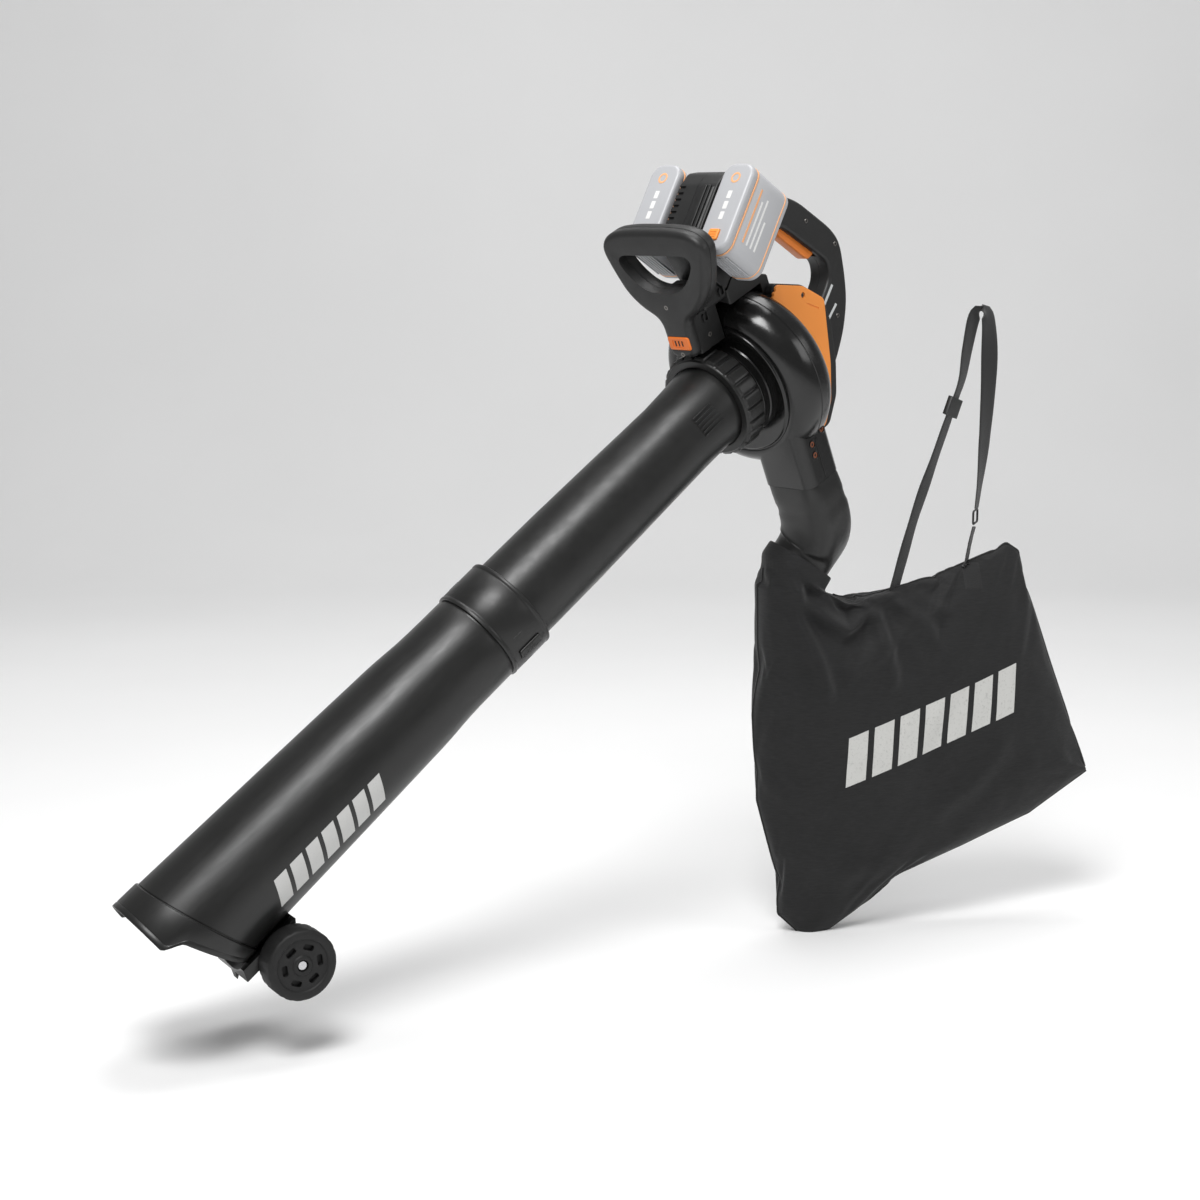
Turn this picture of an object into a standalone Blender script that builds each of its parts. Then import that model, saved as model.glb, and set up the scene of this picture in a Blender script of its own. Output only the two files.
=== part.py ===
"""Cordless leaf vacuum mulcher: suction tube, fan housing with two battery packs, outlet elbow and catch bag.

Everything is modelled around the centre of the fan inlet and then moved so that the origin is the middle
of the rear grip. X runs from the mouth to the rear, Y to the operator's right, Z up.
FAN has its x axis along the fan shaft, TUBE along the suction tube, PACK along the battery rails.
"""
import math

import bmesh
import bpy
from mathutils import Matrix, Vector

# ---------------------------------------------------------------- driving dimensions (metres, degrees)
GAP = 0.0003                      # between touching pieces
GRIP = Vector((0.120, 0.0, 0.225))   # middle of the rear grip, from the fan inlet centre
FAN_TILT, TUBE_TILT, TUBE_YAW, PACK_TILT, GRIP_TILT = 24.8, 38.8, -15.0, 60.4, -26.0

FAN_R, FAN_FRONT, FAN_BACK, WALL = 0.1105, 0.043, 0.112, 0.0025
SPLIT = 0.078                     # where the front and rear fan shells meet
DUCT_Y, DUCT_X, DUCT_END = (-0.080, -0.003), (0.046, 0.106), -0.135
RING_R, RING_X = 0.0655, (-0.004, 0.030)

COLLAR_X = (-0.398, -0.340)
TUBE_WALL = 0.0022
MOUTH_X = -0.893
WHEEL_X, WHEEL_Z, WHEEL_R, WHEEL_Y = -0.798, -0.0935, 0.0398, (0.048, 0.080)
AXLE_R = 0.003

PACK_X, PACK_N, PACK_Y, PACK_CORNER = (0.128, 0.241), (0.073, 0.148), (0.0345, 0.080), 0.016
TOWER_Y = 0.0295
HANDLE_Y, BODY_Y = 0.0165, 0.0418
MOTOR_CAVITY = (0.1128, 0.1775, 0.0405)

BAG_ORIGIN, BAG_YAW = Vector((0.185, -0.030, 0.0)), -30.0
STRAP_W, STRAP_T = 0.025, 0.0016
CUFF_R = 0.0385                   # the elbow's round end, where the bag is strapped on
CUFF_AT, CUFF_DIRECTION, CUFF_MIDDLE = (-0.032, 0, -0.202), (-0.55, 0, -0.835), 0.006   # in the BAG frame
ELBOW_POLES, ELBOW_STEPS, ELBOW_SPIGOT, ELBOW_HALF = (0.072, 0.046), 6, 0.013, (0.0310, 0.0395)


def rotation(axis, degrees):
    return Matrix.Rotation(math.radians(degrees), 4, axis)


HEAD = Matrix.Identity(4)
FAN = rotation("Y", -FAN_TILT)
TUBE = rotation("Z", TUBE_YAW) @ rotation("Y", -TUBE_TILT)
PACK = rotation("Y", -PACK_TILT)
TRIGGER_PIVOT = Vector((0.112, 0.0, 0.212))
GRIP_BAR = Matrix.Translation(TRIGGER_PIVOT) @ rotation("Y", -GRIP_TILT)
BAG = Matrix.Translation(BAG_ORIGIN) @ rotation("Z", BAG_YAW)
LATCH_FRAME = TUBE @ rotation("X", 120)
WHEEL = TUBE @ Matrix.Translation((WHEEL_X, 0, WHEEL_Z)) @ rotation("Z", 90)


def swap(first, second, third):
    """A frame whose x, y, z axes are the named axes of its parent."""
    axes = {"x": (1, 0, 0), "y": (0, 1, 0), "z": (0, 0, 1),
            "-x": (-1, 0, 0), "-y": (0, -1, 0), "-z": (0, 0, -1)}
    return Matrix([axes[first], axes[second], axes[third]]).transposed().to_4x4()


# ---------------------------------------------------------------- materials
def material(name, colour, roughness, metallic=0.0):
    made = bpy.data.materials.new(name)
    made.use_nodes = True
    shader = made.node_tree.nodes["Principled BSDF"]
    shader.inputs["Base Color"].default_value = (*colour, 1)
    shader.inputs["Roughness"].default_value = roughness
    shader.inputs["Metallic"].default_value = metallic
    made.diffuse_color = (*colour, 1)
    return made


def make_materials():
    return {
        "satin": material("satin_black", (0.030, 0.030, 0.032), 0.42),
        "gloss": material("gloss_black", (0.012, 0.012, 0.013), 0.16),
        "grey": material("dark_grey", (0.040, 0.040, 0.043), 0.55),
        "orange": material("orange", (0.92, 0.33, 0.06), 0.45),
        "pack": material("pale_grey", (0.55, 0.55, 0.58), 0.40),
        "trim": material("pale_orange", (0.86, 0.60, 0.40), 0.45),
        "steel": material("steel", (0.60, 0.60, 0.62), 0.30, 1.0),
        "copper": material("copper", (0.72, 0.36, 0.18), 0.35, 1.0),
        "board": material("board_green", (0.02, 0.16, 0.06), 0.50),
        "cell": material("cell_blue", (0.06, 0.16, 0.36), 0.45),
        "cloth": material("bag_cloth", (0.020, 0.020, 0.022), 0.85),
        "webbing": material("webbing", (0.018, 0.018, 0.020), 0.90),
    }


# ---------------------------------------------------------------- shape helpers
def place(frame):
    return Matrix.Translation(-GRIP) @ frame


def make(name, verts, faces, paint, frame, origin=None, sharp=32.0):
    """An object from vertices in the given frame; its origin goes to the given point of that frame."""
    mesh = bpy.data.meshes.new(name)
    world = place(frame)
    centre = world @ Vector(origin) if origin is not None else Vector((0, 0, 0))
    mesh.from_pydata([world @ Vector(v) - centre for v in verts], [], faces)
    work = bmesh.new()
    work.from_mesh(mesh)
    bmesh.ops.remove_doubles(work, verts=work.verts, dist=1e-6)
    bmesh.ops.recalc_face_normals(work, faces=work.faces)
    work.to_mesh(mesh)
    work.free()
    mesh.shade_smooth()
    mesh.set_sharp_from_angle(angle=math.radians(sharp))
    mesh.materials.append(paint)
    obj = bpy.data.objects.new(name, mesh)
    obj.location = centre
    bpy.context.scene.collection.objects.link(obj)
    return obj


def stitch(rings, closed):
    """Faces between successive rings of equal length, the last joined to the first if closed."""
    count = len(rings[0])
    verts = [v for ring in rings for v in ring]
    faces = []
    spans = len(rings) if closed else len(rings) - 1
    for i in range(spans):
        a, b = i * count, ((i + 1) % len(rings)) * count
        for k in range(count):
            n = (k + 1) % count
            faces.append((a + k, a + n, b + n, b + k))
    if not closed:
        faces.append(tuple(range(count)))
        faces.append(tuple(range((len(rings) - 1) * count, len(rings) * count)))
    return verts, faces


def circle(x, r, count, wobble=None):
    """A ring of points about the x axis; wobble(angle) gives an extra (x, r)."""
    points = []
    for k in range(count):
        a = 2 * math.pi * k / count
        dx, dr = wobble(a) if wobble else (0, 0)
        points.append((x + dx, (r + dr) * math.cos(a), (r + dr) * math.sin(a)))
    return points


def turned(name, profile, paint, frame, count=32, hollow=True, origin=None, sharp=32.0):
    """A profile of (x, r) points turned about x: a closed outline if hollow, else capped at both ends."""
    verts, faces = stitch([circle(x, r, count) for x, r in profile], hollow)
    return make(name, verts, faces, paint, frame, origin, sharp)


def tube(name, x0, x1, outer, inner, paint, frame, count=24, origin=None):
    profile = [(x0, inner), (x0, outer), (x1, outer), (x1, inner)]
    return turned(name, profile, paint, frame, count, True, origin)


def rod(name, x0, x1, r, paint, frame, count=16, origin=None):
    return turned(name, [(x0, r), (x1, r)], paint, frame, count, False, origin)


def prism(name, outline, low, high, paint, frame, origin=None, sharp=32.0):
    """A polygon of (x, z) points extruded along y."""
    rings = [[(x, y, z) for x, z in outline] for y in (low, high)]
    verts, faces = stitch(rings, False)
    return make(name, verts, faces, paint, frame, origin, sharp)


def box(name, low, high, paint, frame, origin=None):
    outline = [(low[0], low[2]), (high[0], low[2]), (high[0], high[2]), (low[0], high[2])]
    return prism(name, outline, low[1], high[1], paint, frame, origin)


def rounded(x0, x1, z0, z1, r, steps=4):
    """A rectangle with round corners, as (x, z) points."""
    points = []
    corners = (((x1 - r, z0 + r), -90), ((x1 - r, z1 - r), 0),
               ((x0 + r, z1 - r), 90), ((x0 + r, z0 + r), 180))
    for (cx, cz), start in corners:
        for k in range(steps + 1):
            a = math.radians(start + 90 * k / steps)
            points.append((cx + r * math.cos(a), cz + r * math.sin(a)))
    return points


def soften(obj, width, segments=2, angle=35):
    bevel = obj.modifiers.new("bevel", "BEVEL")
    bevel.width = width
    bevel.segments = segments
    bevel.limit_method = "ANGLE"
    bevel.angle_limit = math.radians(angle)
    apply(obj)
    return obj


def apply(obj):
    """Bakes the modifiers into the mesh."""
    graph = bpy.context.evaluated_depsgraph_get()
    baked = bpy.data.meshes.new_from_object(obj.evaluated_get(graph))
    old = obj.data
    obj.modifiers.clear()
    obj.data = baked
    bpy.data.meshes.remove(old)
    baked.set_sharp_from_angle(angle=math.radians(32))


def combine(obj, others, operation="DIFFERENCE"):
    """Cuts, unites or intersects obj with helper shapes, which are then deleted."""
    for other in others:
        step = obj.modifiers.new("boolean", "BOOLEAN")
        step.operation = operation
        step.solver = "EXACT"
        step.object = other
        apply(obj)
        bpy.data.objects.remove(other)
    return obj


def both_sides(build):
    """Calls build(word, sign) for the left (-Y) and right (+Y) piece."""
    return [build("left", -1), build("right", 1)]


def span(sign, inner, outer):
    """The y range of a piece that lies between inner and outer on one side."""
    return sorted((sign * inner, sign * outer))


# ---------------------------------------------------------------- suction tube, in the TUBE frame
LOWER_PROFILE = [(-0.352, 0.0563), (-0.4003, 0.0563), (-0.4005, 0.0578), (-0.430, 0.0583), (-0.530, 0.0618),
                 (-0.600, 0.0636), (-0.760, 0.0674)]
LIP_TOP_ANGLE = 70.0              # the lip stands forward within this angle of the top


def seam_x(height):
    """Where the mouth's flange starts, at a height across the tube from -1 (bottom) to 1 (top)."""
    return -0.838 - 0.022 * height


def lip_x(angle):
    """The scalloped front edge of the mouth, at an angle from the top."""
    folded = abs((math.degrees(angle) - 90 + 180) % 360 - 180)
    if folded < LIP_TOP_ANGLE:
        return MOUTH_X
    return -0.863 - 0.026 * math.cos(math.radians(folded)) * 1.15


def lower_tube(paint):
    count = 36
    outer = [circle(x, r, count) for x, r in LOWER_PROFILE]
    angles = [2 * math.pi * k / count for k in range(count)]
    for dx, r in ((0.0008, 0.0698), (0, 0.0722)):
        outer.append([(seam_x(math.sin(a)) + dx, r * math.cos(a), r * math.sin(a)) for a in angles])
    outer.append([(lip_x(a), 0.0728 * math.cos(a), 0.0728 * math.sin(a)) for a in angles])
    inner = [[(lip_x(a), 0.0704 * math.cos(a), 0.0704 * math.sin(a)) for a in angles]]
    inner.append([(seam_x(math.sin(a)), 0.0676 * math.cos(a), 0.0676 * math.sin(a)) for a in angles])
    inner += [circle(x, r - TUBE_WALL, count) for x, r in reversed(LOWER_PROFILE)]
    verts, faces = stitch(outer + inner, True)
    return make("lower_tube", verts, faces, paint, TUBE)


def tube_collar(paint):
    x0, x1 = COLLAR_X
    profile = [(x0, 0.0566), (x0, 0.0605), (x0 + 0.004, 0.0608), (x0 + 0.005, 0.0588), (x1 - 0.005, 0.0588),
               (x1 - 0.004, 0.0608), (x1, 0.0605), (x1, 0.0566)]
    collar = turned("tube_collar", profile, paint, TUBE, 32)
    window = box("window", (x0 + 0.013, -0.0072, 0.052), (x1 - 0.013, 0.0072, 0.066), paint, LATCH_FRAME)
    return combine(collar, [window])


def collar_latch(paint):
    x0, x1 = COLLAR_X
    low, high = (x0 + 0.0135, -0.0067, 0.0588), (x1 - 0.0135, 0.0067, 0.0622)
    latch = box("collar_latch", low, high, paint, LATCH_FRAME)
    return soften(latch, 0.001, 1)


def upper_tube(paint):
    """A slightly tapered tube whose top end is square to the fan shaft, with a flange under the lock ring."""
    count = 32
    to_fan = TUBE.inverted() @ FAN
    stations = [(-0.392, 0.0538), (-0.250, 0.0532), (-0.150, 0.0514), (-0.060, 0.0496)]
    outer = [circle(x, r, count) for x, r in stations]
    inner = [circle(x, r - TUBE_WALL, count) for x, r in stations]

    def square(x, r):
        return [tuple(to_fan @ Vector(p)) for p in circle(x, r, count)]

    outer += [square(-0.006, 0.0518), square(-0.0015, 0.0522)]
    outer += [square(-0.0013, 0.0545), square(0.0030, 0.0545)]
    inner += [square(-0.006, 0.0494), square(0.0030, 0.0498)]
    verts, faces = stitch(outer + inner[::-1], True)
    body = make("upper_tube", verts, faces, paint, TUBE)
    near_side = TUBE @ rotation("X", 77)
    ribs = [box("rib", (-0.046, y - 0.001, 0.044), (-0.016, y + 0.001, 0.0525), paint, near_side)
            for y in (-0.0125, -0.0075, -0.0025, 0.0025, 0.0075, 0.0125)]
    return combine(body, ribs, "UNION")


def wheel_bracket(paint):
    outline = [(-0.853, -0.0865), (-0.840, -0.0780), (-0.818, -0.0775), (-0.806, -0.0975), (-0.801, -0.1005),
               (-0.795, -0.1005), (-0.789, -0.0965), (-0.778, -0.0810), (-0.766, -0.064), (-0.845, -0.064)]
    bracket = prism("wheel_bracket", outline, -0.045, 0.045, paint, TUBE)
    pocket = box("pocket", (-0.822, -0.039, -0.112), (-0.774, 0.039, -0.079), paint, TUBE)
    bore = rod("bore", -0.05, 0.05, AXLE_R + GAP, paint, WHEEL)
    spur = [prism("side", [(-0.86, -0.09), (-0.825, -0.09), (-0.825, -0.0775), (-0.86, -0.0775)],
                  *span(s, 0.006, 0.05), paint, TUBE) for s in (1, -1)]
    skin = [(-0.70, 0.0664), (-0.760, 0.0678), (-0.813, 0.0703), (-0.8133, 0.0727), (-0.87, 0.0734)]
    tube_body = turned("skin", skin, paint, TUBE, 40, False)
    return combine(bracket, [pocket, bore, *spur, tube_body])


def wheel(word, sign, paint):
    """A wheel with five slots round its hub, turned about the axle."""
    y0, y1 = span(sign, *WHEEL_Y)
    inner_side, outer_side = (y0, y1) if sign > 0 else (y1, y0)
    step = 0.004 if sign > 0 else -0.004
    bore = AXLE_R + GAP
    profile = [(inner_side, bore), (inner_side, 0.012), (inner_side + step, 0.014),
               (inner_side + step, 0.032), (inner_side, 0.034),
               (inner_side, WHEEL_R - 0.003), (inner_side + step * 0.8, WHEEL_R),
               (outer_side - step * 0.8, WHEEL_R), (outer_side, WHEEL_R - 0.003), (outer_side, 0.030),
               (outer_side - step * 0.5, 0.028), (outer_side - step * 0.5, 0.011), (outer_side, 0.010),
               (outer_side, 0.0065), (outer_side - step * 1.2, 0.0065), (outer_side - step * 1.2, bore)]
    body = turned("wheel_" + word, profile, paint, WHEEL, 28, True, (0, 0, 0))
    slots = []
    for k in range(5):
        turn = WHEEL @ rotation("X", 72 * k)
        low, high = sorted((outer_side - step * 1.6, outer_side + step))
        slots.append(box("slot", (low, -0.0055, 0.0165), (high, 0.0055, 0.0245), paint, turn))
    return combine(body, slots)


def wheel_axle(steel):
    """An axle with a push-on cap pressed over each end."""
    end = WHEEL_Y[1] - 0.0045
    profile = [(-end - 0.0022, 0.0048), (-end, 0.0055), (-end, AXLE_R), (end, AXLE_R), (end, 0.0055),
               (end + 0.0022, 0.0048)]
    return turned("wheel_axle", profile, steel, WHEEL, 12, False)


# ---------------------------------------------------------------- fan, in the FAN frame
def fan_solid(name, inset, paint):
    """The fan housing's outer form, or its hollow when inset: a rounded disc with a tangential duct."""
    front, back, r = FAN_FRONT + inset, FAN_BACK - inset, FAN_R - inset
    disc = [(front, r - 0.0255), (front + 0.004, r - 0.013), (front + 0.014, r - 0.0035), (front + 0.030, r),
            (back - 0.022, r), (back - 0.008, r - 0.0060), (back, r - 0.0200)]
    body = turned(name, disc, paint, FAN, 44, False)
    y0, y1 = DUCT_Y[0] + inset, DUCT_Y[1] - inset
    x0, x1 = DUCT_X[0] + inset, DUCT_X[1] - inset
    low = DUCT_END - (0.01 if inset else 0)
    outline = rounded(x0, x1, y0, y1, 0.014 - inset, 3)
    verts, faces = stitch([[(x, y, z) for x, y in outline] for z in (low, -0.010)], False)
    duct = make("duct", verts, faces, paint, FAN)
    return combine(body, [duct], "UNION")


def fan_shell(name, low, high, paint):
    """The slice of the fan housing between two planes across the shaft."""
    shell = fan_solid(name, 0, paint)
    combine(shell, [fan_solid("hollow", WALL, paint)])
    keep = box("keep", (low, -0.2, -0.25), (high, 0.2, 0.25), paint, FAN)
    return combine(shell, [keep], "INTERSECT")


def front_fan_shell(paint):
    shell = fan_shell("front_fan_shell", 0.0, SPLIT - GAP / 2, paint)
    step = [(0.0036, 0.0535), (0.0318, 0.0535), (0.0320, 0.0600), (FAN_FRONT + 0.001, 0.0610)]
    hole = rod("hole", -0.02, FAN_FRONT + 0.01, 0.0505, paint, FAN, 40)
    combine(shell, [turned("neck", step, paint, FAN, 40, False)], "UNION")
    return combine(shell, [hole])


def rear_fan_shell(paint):
    shell = fan_shell("rear_fan_shell", SPLIT + GAP / 2, 0.2, paint)
    return combine(shell, [rod("hole", FAN_BACK - 0.01, FAN_BACK + 0.01, 0.0135, paint, FAN, 24)])


def lock_ring(paint):
    """A ring with twelve grip pads and a front lip that holds the tube's flange."""
    count = 36

    def pads(a):
        return (0, 0.0 if round(a * count / (2 * math.pi)) % 3 < 2 else -0.0024)

    x0, x1 = RING_X
    rings = [circle(x0, 0.0535, count), circle(x0, 0.0628, count), circle(x0 + 0.003, RING_R, count, pads),
             circle(x1 - 0.003, RING_R, count, pads), circle(x1, 0.0628, count), circle(x1, 0.0550, count),
             circle(x0 + 0.0022, 0.0550, count), circle(x0 + 0.0022, 0.0535, count)]
    verts, faces = stitch(rings, True)
    return make("lock_ring", verts, faces, paint, FAN, (0, 0, 0))


def impeller(paint):
    """A backplate with a hub and eight backward-curved vanes."""
    bore = 0.0040 + GAP
    profile = [(0.060, bore), (0.060, 0.016), (0.088, 0.020), (0.0975, 0.034),
               (0.0975, 0.094), (0.1000, 0.094), (0.1000, bore)]
    body = turned("impeller", profile, paint, FAN, 32, True, (0.08, 0, 0))
    vanes = []
    for k in range(8):
        arc = []
        for side, steps in ((0.0011, range(5)), (-0.0011, range(4, -1, -1))):
            for i in steps:
                r = 0.017 + (0.092 - 0.017) * i / 4
                a = math.radians(-34 * i / 4) + side / r
                arc.append((r * math.cos(a), r * math.sin(a)))
        rings = [[(x, y, z) for y, z in arc] for x in (0.056, 0.0988)]
        verts, faces = stitch(rings, False)
        vanes.append(make("vane", verts, faces, paint, FAN @ rotation("X", 45 * k)))
    return combine(body, vanes, "UNION")


def spinning_parts(paint):
    impeller(paint["grey"])
    rod("motor_shaft", 0.030, 0.1685, 0.0040, paint["steel"], FAN, 16, (0.08, 0, 0))
    tube("motor_rotor", 0.1230, 0.1590, 0.0170, 0.0040 + GAP, paint["steel"], FAN, 24, (0.14, 0, 0))
    blade = prism("shredder_blade", [(0.0430, -0.044), (0.0462, -0.044), (0.0462, 0.044), (0.0430, 0.044)],
                  -0.009, 0.009, paint["steel"], FAN, (0.044, 0, 0))
    combine(blade, [rod("bore", 0.03, 0.06, 0.0040 + GAP, paint["steel"], FAN, 16)])
    sleeve = [(0.0465, 0.0043), (0.0465, 0.0085), (0.0597, 0.0110), (0.0597, 0.0043)]
    turned("blade_spacer", sleeve, paint["steel"], FAN, 16, True, (0.05, 0, 0))
    tube("impeller_nut", 0.0355, 0.0427, 0.0085, 0.0049, paint["steel"], FAN, 6, (0.04, 0, 0))


def motor(paint):
    can = [(0.1132, 0.0120), (0.1132, 0.0385), (0.1725, 0.0385), (0.1725, 0.0120), (0.1700, 0.0120),
           (0.1700, 0.0362), (0.1157, 0.0362), (0.1157, 0.0120)]
    turned("motor_housing", can, paint["steel"], FAN, 32)
    tube("motor_stator", 0.1215, 0.1605, 0.0359, 0.0176, paint["copper"], FAN, 24)
    tube("front_bearing", 0.1132, 0.1192, 0.0117, 0.0043, paint["steel"], FAN, 20)
    tube("rear_bearing", 0.1645, 0.1705, 0.0117, 0.0043, paint["steel"], FAN, 20)


# ---------------------------------------------------------------- outlet elbow and catch bag
def elbow_path():
    """Centres, directions and half sizes of the elbow's sections, from the duct to the bag."""
    x, y = sum(DUCT_X) / 2, sum(DUCT_Y) / 2
    start = FAN @ Vector((x, y, DUCT_END - GAP))
    down = (FAN.to_3x3() @ Vector((0, -0.12, -1))).normalized()
    end = BAG @ Vector(CUFF_AT)
    into = (BAG.to_3x3() @ Vector(CUFF_DIRECTION)).normalized()
    poles = (start, start + down * ELBOW_POLES[0], end - into * ELBOW_POLES[1], end)
    stations = []
    for k in range(ELBOW_STEPS + 1):
        t = k / ELBOW_STEPS
        weights = ((1 - t) ** 3, 3 * t * (1 - t) ** 2, 3 * t * t * (1 - t), t ** 3)
        slopes = (-(1 - t) ** 2, (1 - t) ** 2 - 2 * t * (1 - t), 2 * t * (1 - t) - t * t, t * t)
        centre = sum((w * p for w, p in zip(weights, poles)), Vector())
        ahead = sum((w * p for w, p in zip(slopes, poles)), Vector()).normalized()
        if k == 0:
            ahead = FAN.to_3x3() @ Vector((0, 0, -1))
        sizes = [a + (CUFF_R - a) * min(1, t * 1.25) for a in ELBOW_HALF]
        stations.append((centre, ahead, sizes, 0.62 + 0.38 * min(1, t * 1.25)))
    stations.append((end + into * ELBOW_SPIGOT, into, [CUFF_R, CUFF_R], 1.0))
    return stations


def elbow_section(station, inset, count=26):
    """A rounded rectangle that becomes a circle towards the bag."""
    centre, ahead, (half_x, half_y), power = station
    wide = FAN.to_3x3() @ Vector((1, 0, 0))
    wide = (wide - ahead * wide.dot(ahead)).normalized()
    deep = wide.cross(ahead)
    points = []
    for k in range(count):
        a = 2 * math.pi * k / count
        u = math.copysign(abs(math.cos(a)) ** power, math.cos(a)) * (half_x - inset)
        v = math.copysign(abs(math.sin(a)) ** power, math.sin(a)) * (half_y - inset)
        points.append(tuple(centre + wide * u + deep * v))
    return points


def outlet_elbow(paint):
    outer = [elbow_section(s, 0) for s in elbow_path()]
    inner = [elbow_section(s, WALL) for s in elbow_path()]
    verts, faces = stitch(outer + inner[::-1], True)
    return make("outlet_elbow", verts, faces, paint, HEAD)


def cuff_frame():
    """x axis into the bag, at the middle of the cuff."""
    into = Vector(CUFF_DIRECTION).normalized()
    lean = math.degrees(math.atan2(-into.z, into.x))
    return BAG @ Matrix.Translation(Vector(CUFF_AT) + into * CUFF_MIDDLE) @ rotation("Y", lean)


def bag_cuff(paint):
    return tube("bag_cuff", -0.0060, 0.0060, CUFF_R + 0.0040, CUFF_R + 0.0009, paint, cuff_frame(), 26)


# in the BAG frame: x along the bag, y its thickness, z up
BAG_LOW_EDGE = [(-0.0900, -0.2100), (-0.0965, -0.2400), (-0.093, -0.392), (-0.086, -0.501), (-0.060, -0.640),
                (-0.020, -0.683), (0.030, -0.672), (0.111, -0.622), (0.200, -0.584), (0.288, -0.545),
                (0.366, -0.494)]
BAG_HIGH_EDGE = [(0.0120, -0.2475), (0.0400, -0.2540), (0.104, -0.240), (0.150, -0.229), (0.190, -0.214),
                 (0.247, -0.193), (0.263, -0.203), (0.285, -0.266), (0.310, -0.338), (0.340, -0.420),
                 (0.364, -0.488)]
BAG_HALF = [0.0455, 0.0455, 0.044, 0.041, 0.039, 0.036, 0.032, 0.028, 0.022, 0.014, 0.005]
BAG_FABRIC = 0.0018


def bag_loop(low, high, half, count=24):
    """A flat lens of points round the line between two edge points."""
    low, high = Vector((low[0], 0, low[1])), Vector((high[0], 0, high[1]))
    middle, along = (low + high) / 2, (high - low) / 2
    points = []
    for k in range(count):
        a = 2 * math.pi * k / count
        points.append(tuple(middle + along * math.cos(a) + Vector((0, half * math.sin(a), 0))))
    return points


def mouth_loop(r, x):
    """A round loop at the cuff, its points in the same order as a bag loop's."""
    to_bag = BAG.inverted() @ cuff_frame()
    points = [to_bag @ Vector(p) for p in circle(x, r, 24)]
    start = min(range(24), key=lambda k: -(points[k] - points[(k + 12) % 24]).x)
    ahead = points[(start + 6) % 24].y > points[(start - 6) % 24].y
    order = [(start + (k if ahead else -k)) % 24 for k in range(24)]
    return [tuple(points[k]) for k in order]


def catch_bag(paint):
    inside = CUFF_R + 0.0046
    outer = [mouth_loop(inside + BAG_FABRIC, -0.0080), mouth_loop(inside + BAG_FABRIC + 0.001, 0.0110)]
    inner = [mouth_loop(inside, -0.0080), mouth_loop(inside + 0.001, 0.0110)]
    for k, (low, high, half) in enumerate(zip(BAG_LOW_EDGE, BAG_HIGH_EDGE, BAG_HALF)):
        outer.append(bag_loop(low, high, half))
        if k < len(BAG_HALF) - 1:
            low, high = Vector(low), Vector(high)
            step = (high - low).normalized() * BAG_FABRIC * 2.5
            inner.append(bag_loop(low + step, high - step, half - BAG_FABRIC))
    verts, faces = [], []
    for rings, flip in ((outer, False), (inner, True)):
        ring_verts, ring_faces = stitch(rings, False)
        base = len(verts)
        verts += ring_verts
        del ring_faces[-2]
        faces += [tuple(base + i for i in (face[::-1] if flip else face)) for face in ring_faces]
    start = len(outer) * 24
    faces += [(k, start + k, start + (k + 1) % 24, (k + 1) % 24) for k in range(24)]
    return make("catch_bag", verts, faces, paint, BAG, None, 50)


def ribbon(name, route, across, paint, frame, width=STRAP_W, thick=STRAP_T):
    """A flat band through (x, z) points; across(k) is the unit vector of its width."""
    rings = []
    for k, (x, z) in enumerate(route):
        ahead, behind = route[min(k + 1, len(route) - 1)], route[max(k - 1, 0)]
        along = Vector((ahead[0] - behind[0], 0, ahead[1] - behind[1])).normalized()
        wide = across(k)
        wide = (wide - along * wide.dot(along)).normalized()
        normal = along.cross(wide)
        middle = Vector((x, 0, z))
        rings.append([tuple(middle + wide * width / 2 * u + normal * thick / 2 * v)
                      for u, v in ((-1, -1), (1, -1), (1, 1), (-1, 1))])
    verts, faces = stitch(rings, False)
    return make(name, verts, faces, paint, frame, None, 50)


STRAP_TURN = (36.0, 56.0)         # of the webbing's width from the bag's plane, at its two ends
STRAP_ROUTE = [(0.0975, -0.2365), (0.120, -0.155), (0.145, -0.082), (0.1685, -0.015), (0.1805, 0.020),
               (0.186, 0.055), (0.193, 0.092), (0.199, 0.104), (0.207, 0.105), (0.213, 0.094), (0.216, 0.055),
               (0.2155, 0.000), (0.211, -0.080), (0.2045, -0.1440)]
TAB_ROUTE = [(0.2020, -0.1675), (0.197, -0.188), (0.193, -0.2090)]
RING_AT, RING_HALF, RING_WIRE = (0.2035, -0.1547), (0.0165, 0.0095), 0.0025
BUCKLE = 3                        # the route's point that the buckle sits on
BUCKLE_HALF = (0.0165, 0.0030, 0.0120)


def webbing_side(turn):
    return Vector((math.cos(math.radians(turn)), math.sin(math.radians(turn)), 0))


def strap_turn(k):
    first, last = STRAP_TURN
    return first + (last - first) * k / (len(STRAP_ROUTE) - 1)


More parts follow.
